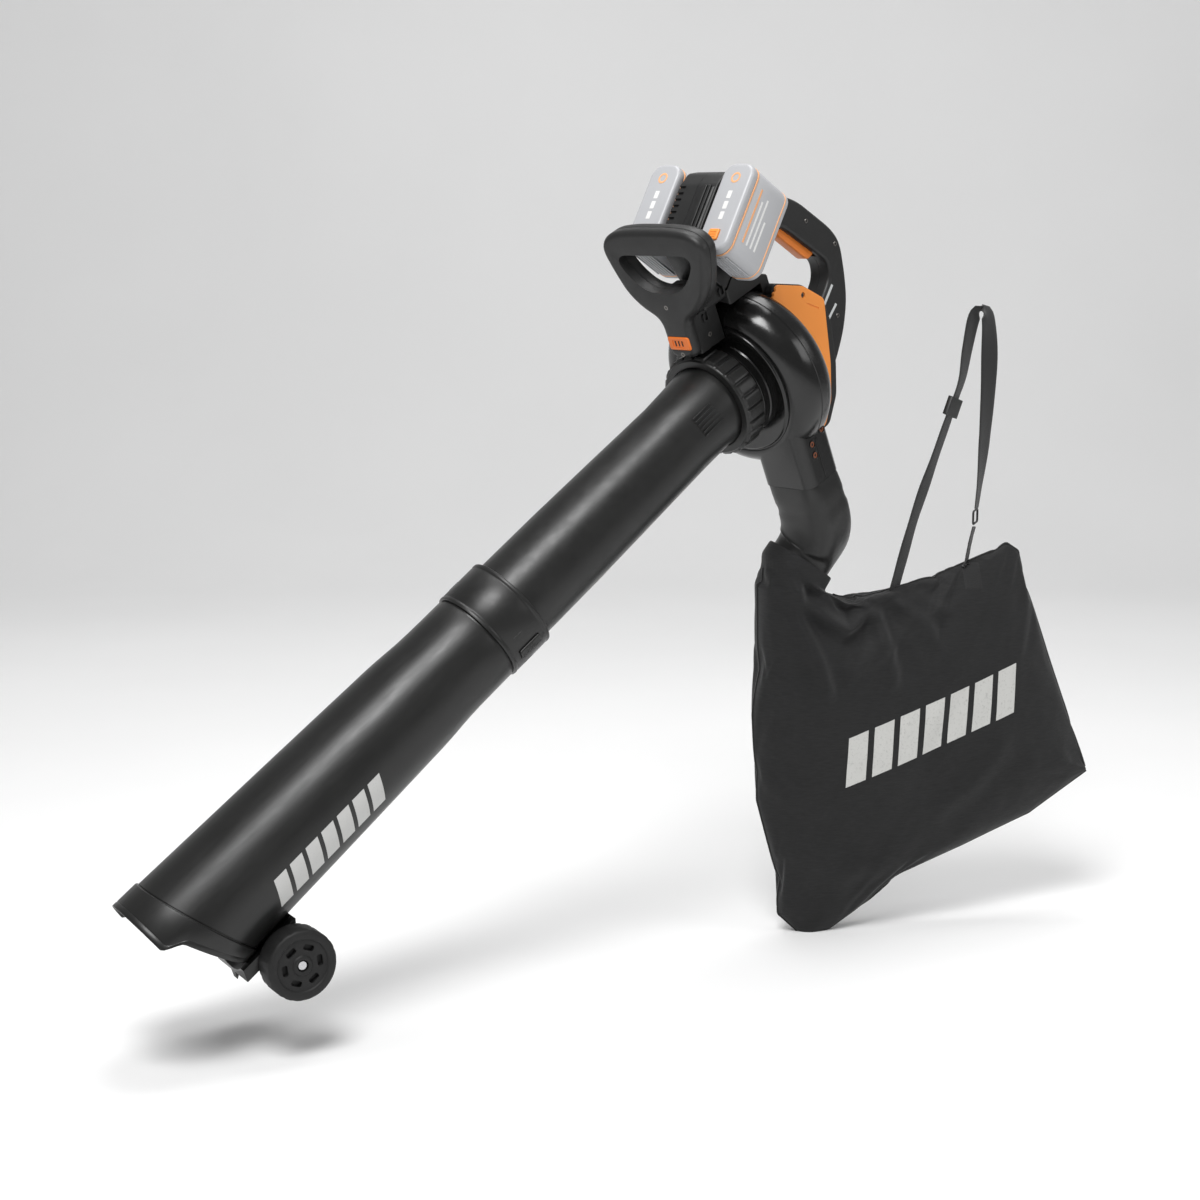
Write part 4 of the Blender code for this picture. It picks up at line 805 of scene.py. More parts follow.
def front_handle():
    front, split, back = BAIL_X
    shell = prism("bail_front", fillet(BAIL_OUTER, 0.012), -split + GAP / 2, -front, GREY, ACROSS,
                  nodes=("front_handle_front_shell",))
    soften_side(shell, ACROSS, -front, 0.0075, 6)
    soften_side(shell, ACROSS, -split + GAP / 2, 0.0006, 2)
    hole = fillet(BAIL_HOLE, 0.010)
    wide, tall = BUTTON_HALF
    window = rounded(-wide - GAP, wide + GAP, BUTTON_Z - tall - GAP, BUTTON_Z + tall + GAP, 0.0032)
    combine(shell, [plug(hole, -0.02, 0.03, ACROSS), plug(window, -0.02, 0.03, ACROSS)])
    soften_side(shell, ACROSS, -front, 0.0036, 4)

    upper = [p for p in BAIL_OUTER if p[1] > 0.10]
    rear = prism("bail_rear", fillet(upper, 0.012), -back, -split - GAP / 2, GREY, ACROSS,
                 nodes=("front_handle_rear_shell",))
    soften_side(rear, ACROSS, -back, 0.0075, 6)
    combine(rear, [plug(hole, -0.02, 0.03, ACROSS)])
    soften_side(rear, ACROSS, -back, 0.0022, 4)
    soften_side(rear, ACROSS, -split - GAP / 2, 0.0006, 2)

    for k, (y, z) in enumerate(BAIL_SCREWS):
        screw("bail_screw_%d" % k, facing(front + 0.0004, y, z, FAN, "-x"), 0.0032)

    outline = rounded(-wide, wide, BUTTON_Z - tall, BUTTON_Z + tall, 0.003)
    button = prism("button_cap", outline, 0.0045, 0.0150, BUTTON_ORANGE, ACROSS, "release_button",
                   nodes=("release_button",))
    soften_side(button, ACROSS, 0.0150, 0.0016, 4)
    dish = rounded(-0.0095, 0.0095, BUTTON_Z - 0.0052, BUTTON_Z + 0.0052, 0.003)
    combine(button, [plug(dish, 0.0143, 0.02, ACROSS)])
    for k in range(3):
        y = -0.0052 + 0.0052 * k
        outline = rounded(y - 0.0008, y + 0.0008, BUTTON_Z - 0.0034, BUTTON_Z + 0.0034, 0.0007)
        bevel(prism("button_bar_%d" % k, outline, 0.0142, 0.0149, DARK, ACROSS, "release_button"), 0.0002)


NECK = [(-0.0008, 0.0700), (-0.0008, 0.1168), (0.0144, 0.1168), (0.0144, 0.1455), (0.0395, 0.1455),
        (0.0428, 0.1413), (0.0546, 0.1249), (0.0546, 0.1125), (0.0424, 0.1125), (0.0424, 0.0700)]
SHOULDER = [(0.0144, 0.1180), (0.0144, 0.1455), (0.0395, 0.1455), (0.0428, 0.1413), (0.0546, 0.1249),
            (0.0546, 0.1180)]
NECK_Y, SHOULDER_Y, HALF_GAP = 0.0185, 0.0285, 0.00015
NECK_SCREWS = ((0.0200, 0.0860, NECK_Y), (0.0300, 0.1320, SHOULDER_Y))   # x, z and the face they are on
HOOKS = ((0.0470, 0.1300, SHOULDER_Y), (0.0200, 0.1100, NECK_Y))


def neck():
    for word, sign in sides():
        shell = prism("neck_%s_casing" % word, fillet(NECK, 0.0016, 3), *span(sign, HALF_GAP, NECK_Y), GREY,
                      FAN, nodes=("neck_" + word,))
        soften_side(shell, FAN, sign * NECK_Y, 0.0030, 4)
        wide = plug(fillet(SHOULDER, 0.0030, 4), *span(sign, HALF_GAP, SHOULDER_Y), FAN)
        soften_side(wide, FAN, sign * SHOULDER_Y, 0.0040, 4)
        pocket = block((-0.01, -0.0055, 0.0845), (0.0130, 0.0055, 0.0955), FAN)
        cavity = block((0.0200, -0.0150, 0.0760), (0.0390, 0.0150, 0.1080), FAN)
        combine(shell, [wide], "UNION")
        combine(shell, [pocket, cavity])
        side_screws("neck_screw_" + word, NECK_SCREWS, 0.0003, sign, FAN, 0.0030)
        for k, (x, z, depth) in enumerate(HOOKS):
            hook = prism("neck_hook_%s_%d" % (word, k),
                         rounded(x - 0.0050, x + 0.0050, z - 0.0080, z + 0.0040, 0.0045),
                         *span(sign, depth - 0.0010, depth + 0.0022), GREY, FAN)
            combine(hook, [plug(rounded(x - 0.0026, x + 0.0026, z - 0.0056, z + 0.0060, 0.0024),
                                *span(sign, depth - 0.003, depth + 0.004), FAN)])
            bevel(hook, 0.0005)


# ---------------------------------------------------------------- battery tower and packs
TOWER = [(0.1380, 0.1446), (0.2150, 0.1446), (0.2330, 0.1390), (0.2440, 0.1240), (0.2440, 0.0960),
         (0.2360, 0.0790), (0.2200, 0.0700), (0.1180, 0.0700), (0.1180, 0.0900)]
TOWER_CAVITY = [(0.1440, 0.1380), (0.2300, 0.1380), (0.2300, 0.0760), (0.1240, 0.0760), (0.1240, 0.0900)]
RAIL_CENTRE, RAIL_X, RAIL_START, RAIL_TOP = 0.109, (0.1500, 0.2200), 0.1350, 0.0337
TOWER_SLOTS = 9
FOOT_Y = 0.0300
LATCH_AT = (0.1480, 0.0570)


def tower():
    for word, sign in sides():
        shell = prism("tower_%s_shell" % word, fillet(TOWER, 0.0040, 5), *span(sign, HALF_GAP, TOWER_Y), GREY,
                      PACK, nodes=("tower_" + word,))
        soften_side(shell, PACK, sign * TOWER_Y, 0.0020, 4)
        combine(shell, [plug(TOWER_CAVITY, *span(sign, -0.005, TOWER_Y - 0.003), PACK)])
        extras = []
        for side in (-1, 1):
            for low, inner in ((TOWER_Y - 0.0005, 0.0180), (RAIL_TOP - 0.0015, 0.0130)):
                y0, y1 = span(sign, low, RAIL_TOP)
                z0, z1 = sorted((RAIL_CENTRE + side * inner, RAIL_CENTRE + side * 0.0210))
                extras.append(block((RAIL_START, y0, z0), (RAIL_X[1], y1, z1), PACK))
        if sign < 0:
            outline = rounded(0.1400, 0.2140, 0.1440, 0.1474, 0.0014)
            for y0, y1 in ((-0.0225, -0.0182), (-0.0163, -0.0120)):
                extras.append(bevel(plug(outline, y0, y1, PACK), 0.0008, 3))
        combine(shell, extras, "UNION")
        if sign > 0:
            starts = [0.1440 + 0.0082 * k for k in range(TOWER_SLOTS)]
            combine(shell, [plug(rounded(x, x + 0.0036, 0.1416, 0.150, 0.0008, 3), 0.0185, 0.04, PACK)
                            for x in starts])


def pack_section(inset):
    (x0, x1), (y0, y1) = PACK_X, PACK_Y
    return rounded(x0 + inset, x1 - inset, y0 + inset, y1 - inset, PACK_CORNER - inset, 10)


def pack_frame(sign):
    return PACK @ swap("x", "z", "y" if sign > 0 else "-y")


def side_frame(sign):
    return PACK @ swap("x", "y" if sign > 0 else "-y", "z")


def packs():
    for word, sign in sides():
        local, body, name = pack_frame(sign), "pack_" + word, "pack_" + word + "_"
        n0, n1 = PACK_N
        high = n1 - PACK_CAP
        top = high - TRIM_W - 2 * GAP
        case = prism(name + "body", pack_section(0), n0, top, SHELL, local, body, (name + "case",))
        soften_side(case, local, n0, 0.0042, 5)
        soften_side(case, local, top, 0.0006, 2)
        combine(case, [plug(pack_section(0.0025), n0 + 0.0025, n1, local)])
        (x0, x1), z = RAIL_X, RAIL_CENTRE
        foot = block((x0, FOOT_Y, z - 0.0175), (x1, 0.0318, z + 0.0175), side_frame(sign))
        stem = block((x0 + 0.001, 0.0313, z - 0.0125), (x1 - 0.001, PACK_Y[0] + 0.001, z + 0.0125),
                     side_frame(sign))
        combine(foot, [stem], "UNION")
        combine(case, [foot], "UNION")

        cap = prism(name + "cap", pack_section(0), high, n1, SHELL, local, body, (name + "front_cap",))
        soften_side(cap, local, n1, 0.0042, 5)
        soften_side(cap, local, high, 0.0006, 2)
        lx, ly = LATCH_AT
        window = rounded(lx - 0.0073, lx + 0.0073, ly - 0.0078, ly + 0.0078, 0.002)
        combine(cap, [plug(pack_section(0.0025), high - 0.01, n1 - 0.0025, local),
                      plug(window, high, n1 + 0.01, local)])

        trim = prism(name + "band", pack_section(-0.0004), top + GAP, top + GAP + TRIM_W, TRIM, local, body,
                     (name + "trim",))
        combine(trim, [plug(pack_section(0.0024), n0, n1, local)])
        bevel(trim, 0.0003)
        latch = prism(name + "button", rounded(lx - 0.0069, lx + 0.0069, ly - 0.0074, ly + 0.0074, 0.002),
                      n1 - 0.0024, n1 + 0.0026, ORANGE, local, name + "latch", (name + "latch",))
        soften_side(latch, local, n1 + 0.0026, 0.0012, 4)
        for k in range(3):
            x = lx - 0.0030 + 0.0030 * k
            outline = rounded(x - 0.0006, x + 0.0006, ly - 0.0050, ly + 0.0050, 0.0005)
            bevel(prism("%sbutton_rib_%d" % (name, k), outline, n1 + 0.0024, n1 + 0.0031, ORANGE, local,
                        name + "latch"), 0.0002)
        dress(name + "cells", CELL)
        dress("terminal_block_" + word, DARK)
        pack_marks(name, local, body, n1)


def pack_marks(name, local, body, n1):
    """A second trim line, foot ribs and generic printed bars; none of them is lettering."""
    middle, outer, foot = sum(PACK_Y) / 2, PACK_Y[1], PACK_X[0]
    n0 = PACK_N[0]
    line = prism(name + "rear_line", pack_section(-0.0004), n0 + 0.0075, n0 + 0.0093, TRIM, local, body)
    combine(line, [plug(pack_section(0.0008), n0, n1, local)])
    bevel(line, 0.0003)
    for k in range(6):
        z = middle - 0.0125 + 0.0050 * k
        bevel(box("%sfoot_rib_%d" % (name, k), (foot - 0.0006, n0 + 0.0130, z),
                  (foot + 0.001, n1 - 0.0180, z + 0.0022), SHELL, local, body), 0.0005)
    for k in range(3):
        x = 0.1680 + 0.0135 * k
        prism("%sprint_%d" % (name, k), rounded(x, x + 0.0100, middle - 0.0032, middle + 0.0032, 0.0009),
              n1 - 0.0001, n1 + 0.00015, INK, local, body)
    for k, end in enumerate((0.2200, 0.2080, 0.2140, 0.1900)):
        n = n1 - 0.0260 - 0.0075 * k
        box("%sside_print_%d" % (name, k), (0.1520, n, outer - 0.0001), (end, n + 0.0028, outer + 0.00015),
            INK if k else TRIM, local, body)
    ring = [(-0.0002, 0.0044), (0.0004, 0.0044), (0.0005, 0.0050), (0.0005, 0.0062), (0.0004, 0.0068),
            (-0.0002, 0.0068)]
    turned(name + "mark", ring, TRIM, facing(0.2220, n1 - 0.0002, middle, local, "y"), body, 48)


# ---------------------------------------------------------------- rear handle, motor casing, side covers
HANDLE = [(0.0588, 0.2430), (0.1000, 0.2480), (0.1390, 0.2410), (0.2060, 0.2070), (0.2240, 0.1900),
          (0.2350, 0.1500), (0.2400, 0.1180), (0.2350, 0.0800), (0.2200, 0.0400), (0.1950, 0.0000),
          (0.1700, 0.0100), (0.1750, 0.0950), (0.1980, 0.1330), (0.2040, 0.1480), (0.2000, 0.1650),
          (0.1870, 0.1730), (0.1170, 0.2070), (0.1000, 0.2100), (0.0400, 0.2080)]
BODY = [(0.0632, 0.1310), (0.0690, 0.1435), (0.1190, 0.1410), (0.1600, 0.1245), (0.1765, 0.0950),
        (0.1880, 0.0450), (0.1900, 0.0050), (0.1780, -0.0300), (0.1480, -0.0455), (0.1352, -0.0236),
        (0.0699, 0.1183)]
COVER = [(0.0615, 0.1270), (0.0650, 0.1285), (0.0638, 0.1325), (0.0682, 0.1340), (0.0672, 0.1382),
         (0.0720, 0.1420), (0.1180, 0.1395), (0.1580, 0.1235), (0.1640, 0.0920), (0.1730, 0.0450),
         (0.1755, 0.0000), (0.1660, -0.0300), (0.1470, -0.0430), (0.1354, -0.0236), (0.0701, 0.1183)]
SADDLE = [(0.0549, 0.1000), (0.0549, 0.1380), (0.0716, 0.1385), (0.1280, 0.1110), (0.1280, 0.0850),
          (0.1127, 0.0850)]
SADDLE_Y = 0.0300
COVER_SCREWS = ((0.1180, 0.1285, BODY_Y), (0.1620, -0.0180, BODY_Y))     # x, z and the depth they are at
GRIP_SCREWS = tuple((x, z, HANDLE_Y) for x, z in ((0.2200, 0.1000), (0.2120, 0.1880), (0.0760, 0.2290),
                                                  (0.1560, 0.2160)))
COVER_GROOVE = (0.1370, 0, 0.1150)          # a thin line pressed into the cover below its upper screw
TOWER_REAR = 0.0697
MOTOR_CAVITY = (0.1128, 0.1775, 0.0405)
GRIP_BAR = Matrix.Translation((0.112, 0.0, 0.212)) @ rotation("Y", 26.0)
SPINE_STRIPES = ((0.2080, 0.1380, 0.1935, 0.1140), (0.2165, 0.1145, 0.1980, 0.0905))   # from x, z to x, z
TRIGGER = [(-0.0070, 0.0060), (0.0780, 0.0060), (0.0780, -0.0020), (0.0735, -0.0110), (0.0680, -0.0135),
           (0.0100, -0.0115), (0.0040, -0.0090), (-0.0070, -0.0015)]


def rear_handle():
    for word, sign in sides():
        y0, y1 = HALF_GAP, HANDLE_Y
        loop = prism("rear_grip_" + word, fillet(HANDLE, 0.016, 7), *span(sign, y0, y1), GREY, HEAD,
                     nodes=("rear_handle_" + word,))
        soften_side(loop, HEAD, sign * y1, 0.0085, 6)
        casing = plug(fillet(BODY, 0.006, 5), *span(sign, y0, BODY_Y), HEAD)
        soften_side(casing, HEAD, sign * BODY_Y, 0.0016, 3)
        saddle = plug(fillet(SADDLE, 0.003, 4), *span(sign, y0, SADDLE_Y), FAN)
        soften_side(saddle, FAN, sign * SADDLE_Y, 0.0030, 4)
        combine(saddle, [drill([(-0.01, FAN_R + 2 * GAP), (FAN_BACK + GAP, FAN_R + 2 * GAP)], FAN, 168)])
        combine(loop, [casing, saddle], "UNION")
        x0, x1, r = MOTOR_CAVITY
        cavity = drill([(x0 - 0.02, r), (x1, r)], FAN, 64)
        behind = block((0.10, -0.06, TOWER_REAR - 0.0005), (0.30, 0.06, 0.15), PACK)
        slot = block((-0.0090, -0.0085, -0.04), (0.0845, 0.0085, 0.0185), GRIP_BAR)
        nook = block((0.0275, -0.0085, 0.0100), (0.0535, 0.0085, 0.0300), GRIP_BAR)
        pin = block((-0.0016, -0.0120, -0.0016), (0.0016, 0.0120, 0.0016), GRIP_BAR)
        board = block((0.1560, -0.0300, 0.0080), (0.1700, 0.0300, 0.0300), HEAD)
        combine(loop, [cavity, behind, slot, nook, pin, board])

        outside = BODY_Y + 0.0035
        cover = prism("side_cover_%s_skin" % word, fillet(COVER, 0.0055, 5),
                      *span(sign, BODY_Y + GAP, outside), ORANGE, HEAD, nodes=("side_cover_" + word,))
        soften_side(cover, HEAD, sign * outside, 0.0018, 4)
        hole = [(y, 0.0036) for y in span(sign, BODY_Y, BODY_Y + 0.02)]
        cuts = [drill(hole, Matrix.Translation((spot[0], 0, spot[1])) @ swap("y", "z", "x"), 32)
                for spot in COVER_SCREWS]
        cuts.append(plug(rounded(-0.0115, 0.0115, -0.0009, 0.0009, 0.0008),
                         *span(sign, outside - 0.0007, outside + 0.002),
                         Matrix.Translation(COVER_GROOVE) @ rotation("Y", 16.0)))
        combine(cover, cuts)
        side_screws("cover_screw_" + word, COVER_SCREWS, 0.0016, sign, HEAD, 0.0032)
        side_screws("grip_screw_" + word, GRIP_SCREWS, 0.0002, sign, HEAD, 0.0030)


def controls():
    lever = prism("trigger_lever", fillet(TRIGGER, 0.0035, 5), -0.0080, 0.0080, TRIGGER_ORANGE, GRIP_BAR,
                  "trigger", ("trigger",))
    soften_side(lever, GRIP_BAR, 0.0080, 0.0024, 4)
    soften_side(lever, GRIP_BAR, -0.0080, 0.0024, 4)
    pivot = GRIP_BAR @ swap("y", "z", "x")
    combine(lever, [drill([(-0.02, 0.0014), (0.02, 0.0014)], pivot, 24)])
    for node, paint in (("power_switch", DARK), ("switch_plunger", ORANGE), ("control_board", BOARD),
                        ("impeller", GREY), ("impeller_nut", ZINC), ("motor_stator", COPPER)):
        dress(node, paint)
    for node in ("trigger_pin", "trigger_spring", "button_spring", "motor_shaft", "motor_rotor",
                 "shredder_blade", "blade_spacer", "motor_housing", "front_bearing", "rear_bearing"):
        dress(node, STEEL)


def spine_stripes():
    """Two pale slanted stripes on each side of the rear spine."""
    for word, sign in sides():
        for k, (x0, z0, x1, z1) in enumerate(SPINE_STRIPES):
            outline = [(x0 - 0.0016, z0 + 0.0010), (x0 + 0.0016, z0 - 0.0010), (x1 + 0.0016, z1 - 0.0010),
                       (x1 - 0.0016, z1 + 0.0010)]
            prism("spine_stripe_%s_%d" % (word, k), outline,
                  *span(sign, HANDLE_Y - 0.0003, HANDLE_Y + 0.0002), PALE, HEAD)


# ---------------------------------------------------------------- catch bag, in the BAG frame
BAG_LOW_EDGE = [(-0.0800, -0.2080), (-0.0905, -0.2300), (-0.0935, -0.392), (-0.086, -0.501), (-0.052, -0.650),
                (-0.016, -0.684), (0.008, -0.681), (0.111, -0.622), (0.200, -0.584), (0.288, -0.545),
                (0.366, -0.494)]
BAG_HIGH_EDGE = [(0.0120, -0.2475), (0.0400, -0.2540), (0.104, -0.240), (0.150, -0.229), (0.190, -0.214),
                 (0.247, -0.193), (0.263, -0.203), (0.285, -0.266), (0.310, -0.338), (0.340, -0.420),
                 (0.364, -0.488)]
BAG_HALF = [0.0455, 0.0455, 0.044, 0.041, 0.039, 0.036, 0.032, 0.028, 0.022, 0.014, 0.005]
BAG_ANCHORS = (Vector((0.0975, 0, -0.2365)), Vector((0.193, 0, -0.2090)))   # where the strap is sewn on
BAG_PATCH = (0.184, 0.206, -0.245, -0.2125)                                 # its x and z ranges
BAG_FABRIC, BAG_SETTLE = 0.0018, 0.013         # the cloth's thickness, and how far the simulation moves it
STITCH_PITCH, STITCH_LENGTH, THREAD_R = 0.0046, 0.0030, 0.00022
BAG_COUNT, BAG_STEP, CLOTH_FRAMES = 120, 0.0075, 24
BAG_FOLDS = (   # a fold's line as (x, z) on the near face, its height and half width
    ([(-0.061, -0.205), (-0.052, -0.228), (-0.043, -0.246), (-0.016, -0.267), (0.006, -0.278),
      (0.020, -0.283), (0.031, -0.279), (0.044, -0.268), (0.056, -0.254)], 0.0125, 0.0085),
    ([(-0.060, -0.230), (-0.045, -0.274), (-0.026, -0.318), (-0.004, -0.384)], 0.0100, 0.0095),
    ([(0.056, -0.254), (0.063, -0.280), (0.069, -0.304), (0.080, -0.367)], 0.0090, 0.0095),
    ([(0.084, -0.250), (0.104, -0.264), (0.125, -0.282), (0.152, -0.330)], 0.0060, 0.0085),
    ([(0.110, -0.246), (0.135, -0.262), (0.165, -0.275)], 0.0040, 0.0075),
    ([(-0.085, -0.470), (-0.050, -0.500), (0.000, -0.520)], 0.0050, 0.0130),
    ([(-0.050, -0.560), (0.010, -0.600), (0.090, -0.590)], 0.0055, 0.0140),
    ([(0.250, -0.430), (0.200, -0.490), (0.130, -0.540)], 0.0040, 0.0140),
)
BAG_BARS_AT, BAG_BARS_TURN = (0.018, -0.421), 19.0   # the printed row's upper left corner and its slope
BAG_BARS_SIZE, BAG_BARS_PITCH, BAG_BARS_LEAN = (0.255, 0.060), 0.0365, 0.38


def bag_loop(low, high, half):
    low, high = Vector((low[0], 0, low[1])), Vector((high[0], 0, high[1]))
    middle, along = (low + high) / 2, (high - low) / 2
    turns = [2 * math.pi * k / BAG_COUNT for k in range(BAG_COUNT)]
    return [middle + along * math.cos(a) + Vector((0, half * math.sin(a), 0)) for a in turns]


def mouth_loop(r, x):
    """A ring around the cuff, numbered as the bag's loops are: from the upper edge, the far side first."""
    count = BAG_COUNT
    to_bag = BAG.inverted() @ cuff_frame()
    points = [to_bag @ Vector(p) for p in circle(x, r, count)]
    start = min(range(count), key=lambda k: -(points[k] - points[(k + count // 2) % count]).x)
    ahead = points[(start + count // 4) % count].y > points[(start - count // 4) % count].y
    return [points[(start + (k if ahead else -k)) % count] for k in range(count)]


def bag_rings():
    """The bag's loops from its mouth to its tail, evenly spaced."""
    inside = CUFF_R + 0.0046 + BAG_FABRIC
    key = [mouth_loop(inside, -0.0080), mouth_loop(inside + 0.0008, 0.0110)]
    key += [bag_loop(*row) for row in zip(BAG_LOW_EDGE, BAG_HIGH_EDGE, BAG_HALF)]
    rings = [key[0]]
    for a, b in zip(key, key[1:]):
        reach = max((p - q).length for p, q in zip(a, b))
        steps = max(1, round(reach / BAG_STEP))
        for k in range(1, steps + 1):
            rings.append([p.lerp(q, k / steps) for p, q in zip(a, b)])
    return rings


def distance_to_line(x, z, line):
    """Signed distance from a point to a polyline, and how far along it the nearest point is, from 0 to 1."""
    best, reach, total = None, 0.0, sum((Vector(b) - Vector(a)).length for a, b in zip(line, line[1:]))
    point = Vector((x, z))
    for a, b in zip(line, line[1:]):
        a, b = Vector(a), Vector(b)
        run = b - a
        t = max(0.0, min(1.0, (point - a).dot(run) / run.length_squared))
        gap = point - (a + run * t)
        side = math.copysign(1.0, run.x * gap.y - run.y * gap.x)
        if best is None or gap.length < abs(best[0]):
            best = (gap.length * side, (reach + run.length * t) / total)
        reach += run.length
    return best


def fold_height(x, z):
    """How far the near face stands out at a point, from the folds that the bag hangs in."""
    height = 0.0
    for line, depth, width in BAG_FOLDS:
        if not (min(p[0] for p in line) - 0.05 < x < max(p[0] for p in line) + 0.05):
            continue
        gap, along = distance_to_line(x, z, line)
        fade = ease(along / 0.18) * ease((1 - along) / 0.18)
        height += fade * depth * (math.exp(-(gap / width) ** 2)
                                  - 0.70 * math.exp(-((gap - 1.8 * width) / (1.3 * width)) ** 2)
                                  - 0.35 * math.exp(-((gap + 2.0 * width) / (1.6 * width)) ** 2))
    return height


def bag_cloth_paint():
    s, cloth = woven("bag_cloth", (0.0085, 0.0085, 0.0088), 0.0016, 0.10, BAG, 0.5)
    lean = math.radians(BAG_BARS_TURN)
    x = s.math("SUBTRACT", s.part("X"), BAG_BARS_AT[0])
    z = s.math("SUBTRACT", s.part("Z"), BAG_BARS_AT[1])
    u = s.plus(s.times(x, math.cos(lean)), s.times(z, math.sin(lean)))
    v = s.math("SUBTRACT", s.times(x, math.sin(lean)), s.times(z, math.cos(lean)))
    mask = s.bars(u, v, BAG_BARS_LEAN, BAG_BARS_SIZE, BAG_BARS_PITCH)
    worn = s.remap(s.noise(330.0, 5.0, 0.75), 0.55, 0.97, 0.25, 0.46)
    s.colour(s.mix(s.times(mask, worn), cloth, (0.56, 0.56, 0.54)))
    return s.material


def settle_cloth(obj, pinned, limit):
    """Lets the sewn shell swell and buckle a little, with no point moving further than the limit."""
    start = [v.co.copy() for v in obj.data.vertices]
    group = obj.vertex_groups.new(name="pin")
    for index, weight in pinned.items():
        group.add([index], weight, "REPLACE")
    step = obj.modifiers.new("cloth", "CLOTH")
    settings = step.settings
    settings.quality = 6
    settings.mass = 0.25
    settings.tension_stiffness = 22
    settings.compression_stiffness = 22
    settings.shear_stiffness = 8
    settings.bending_stiffness = 0.6
    settings.air_damping = 4
    settings.shrink_min = -0.028
    settings.use_pressure = True
    settings.uniform_pressure_force = 0.9
    settings.vertex_group_mass = "pin"
    settings.effector_weights.gravity = 0.0
    step.collision_settings.use_collision = False
    step.point_cache.frame_start, step.point_cache.frame_end = 1, CLOTH_FRAMES
    for number in range(1, CLOTH_FRAMES + 1):
        bpy.context.scene.frame_set(number)
        bpy.context.view_layer.update()
    apply(obj)
    for vertex, rest in zip(obj.data.vertices, start):
        moved = vertex.co - rest
        if moved.length > limit:
            vertex.co = rest + moved.normalized() * limit
    bpy.context.scene.frame_set(1)


def catch_bag():
    rings = bag_rings()
    count = BAG_COUNT
    verts, faces = stitch(rings, caps=False)
    last = (len(rings) - 1) * count
    for k in range(1, count // 2):
        faces.append((last + k, last + k - 1, last + count - k + 1 if k > 1 else last, last + count - k))
    bag = make("bag_shell", verts, [f for f in faces if len(set(f)) == len(f)], bag_cloth_paint(), BAG, None)
    bag.data.transform(place(BAG).inverted())
    pinned = {}
    for vertex in bag.data.vertices:
        ring = vertex.index // count
        hold = max([1 - ease((ring - 3) / 4)]
                   + [1 - ease(((vertex.co - a).length - 0.010) / 0.014) for a in BAG_ANCHORS])
        if hold > 0.01:
            pinned[vertex.index] = hold
    settle_cloth(bag, pinned, BAG_SETTLE)
    for vertex in bag.data.vertices:
        x, y, z = vertex.co
        ring = vertex.index // count
        near = ease(-y / 0.012) * ease((ring - 3) / 4)
        creases = noise.fractal(Vector((x * 16, y * 10 + 5, z * 16)), 0.9, 2.1, 4) * 0.0016
        creases += noise.noise(Vector((x * 55, y * 20, z * 38))) * 0.0006
        lift = fold_height(x, z) * near + creases * ease((ring - 4) / 5)
        vertex.co.y += lift * math.copysign(1, y) * ease(abs(y) / 0.006)
    edges = [[bag.data.vertices[i * count + side].co.copy() for i in range(5, len(rings))]
             for side in (0, count // 2)]
    thick = bag.modifiers.new("thickness", "SOLIDIFY")
    thick.thickness = 0.0012
    thick.offset = -1
    fine = bag.modifiers.new("fine", "SUBSURF")
    fine.levels = fine.render_levels = 1
    apply(bag)
    bag.data.transform(place(BAG))
    smooth(bag, 60)
    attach(bag, "housing")
    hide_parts("catch_bag")
    hems(edges)
    return bag


def sweep(name, path, wide, thick, up, paint, local):
    """A flattened band along a path, its thickness along the given direction."""
    rings = []
    for k, point in enumerate(path):
        along = (path[min(k + 1, len(path) - 1)] - path[max(k - 1, 0)]).normalized()
        side = along.cross(up).normalized()
        over = side.cross(along).normalized()
        ring = []
        for i in range(16):
            a = math.pi * i / 8
            u = math.copysign(abs(math.cos(a)) ** 0.6, math.cos(a)) * wide
            v = math.copysign(abs(math.sin(a)) ** 0.8, math.sin(a)) * thick
            ring.append(tuple(point + side * u + over * v))
        rings.append(ring)
    verts, faces = stitch(rings)
    return make(name, verts, faces, paint, local, sharp=50)


def stitches(name, path, length, r, paint, local, offset):
    """A row of thread stitches, one from each point of a path towards the next, beside it by the offset."""
    verts, faces = [], []
    deep = Vector((0, 1, 0))
    for a, b in zip(path, path[1:]):
        start = a + offset
        end = start + (b - a).normalized() * length
        side = (b - a).cross(deep).normalized()
        base = len(verts)
        for t, size in ((0.0, 0.3), (0.25, 1.0), (0.75, 1.0), (1.0, 0.3)):
            middle = start.lerp(end, t)
            for i in range(6):
                turn = math.pi * i / 3
                verts.append(middle + (side * math.cos(turn) + deep * math.sin(turn)) * r * size)
        for j in range(0, 18, 6):
            for i in range(6):
                n = (i + 1) % 6
                faces.append((base + j + i, base + j + n, base + j + 6 + n, base + j + 6 + i))
        faces.append(tuple(base + i for i in range(6)))
        faces.append(tuple(base + 18 + i for i in range(6)))
    return make(name, verts, faces, paint, local, sharp=60)


def hems(edges):
    """Bound edges along the bag's two seams, with a stitched line beside each on the near face."""
    for word, edge in zip(("upper", "lower"), edges):
        path = curve_points(edge, max(40, len(edge) * 2), closed=False)
        sweep("bag_hem_" + word, path, 0.0018, 0.0013, Vector((0, 1, 0)), BINDING, BAG)
        reach = sum((b - a).length for a, b in zip(path, path[1:]))
        row = curve_points(edge, round(reach / STITCH_PITCH), closed=False)
        stitches("bag_thread_" + word, row, STITCH_LENGTH, THREAD_R, THREAD, BAG, Vector((0, -0.0017, 0)))


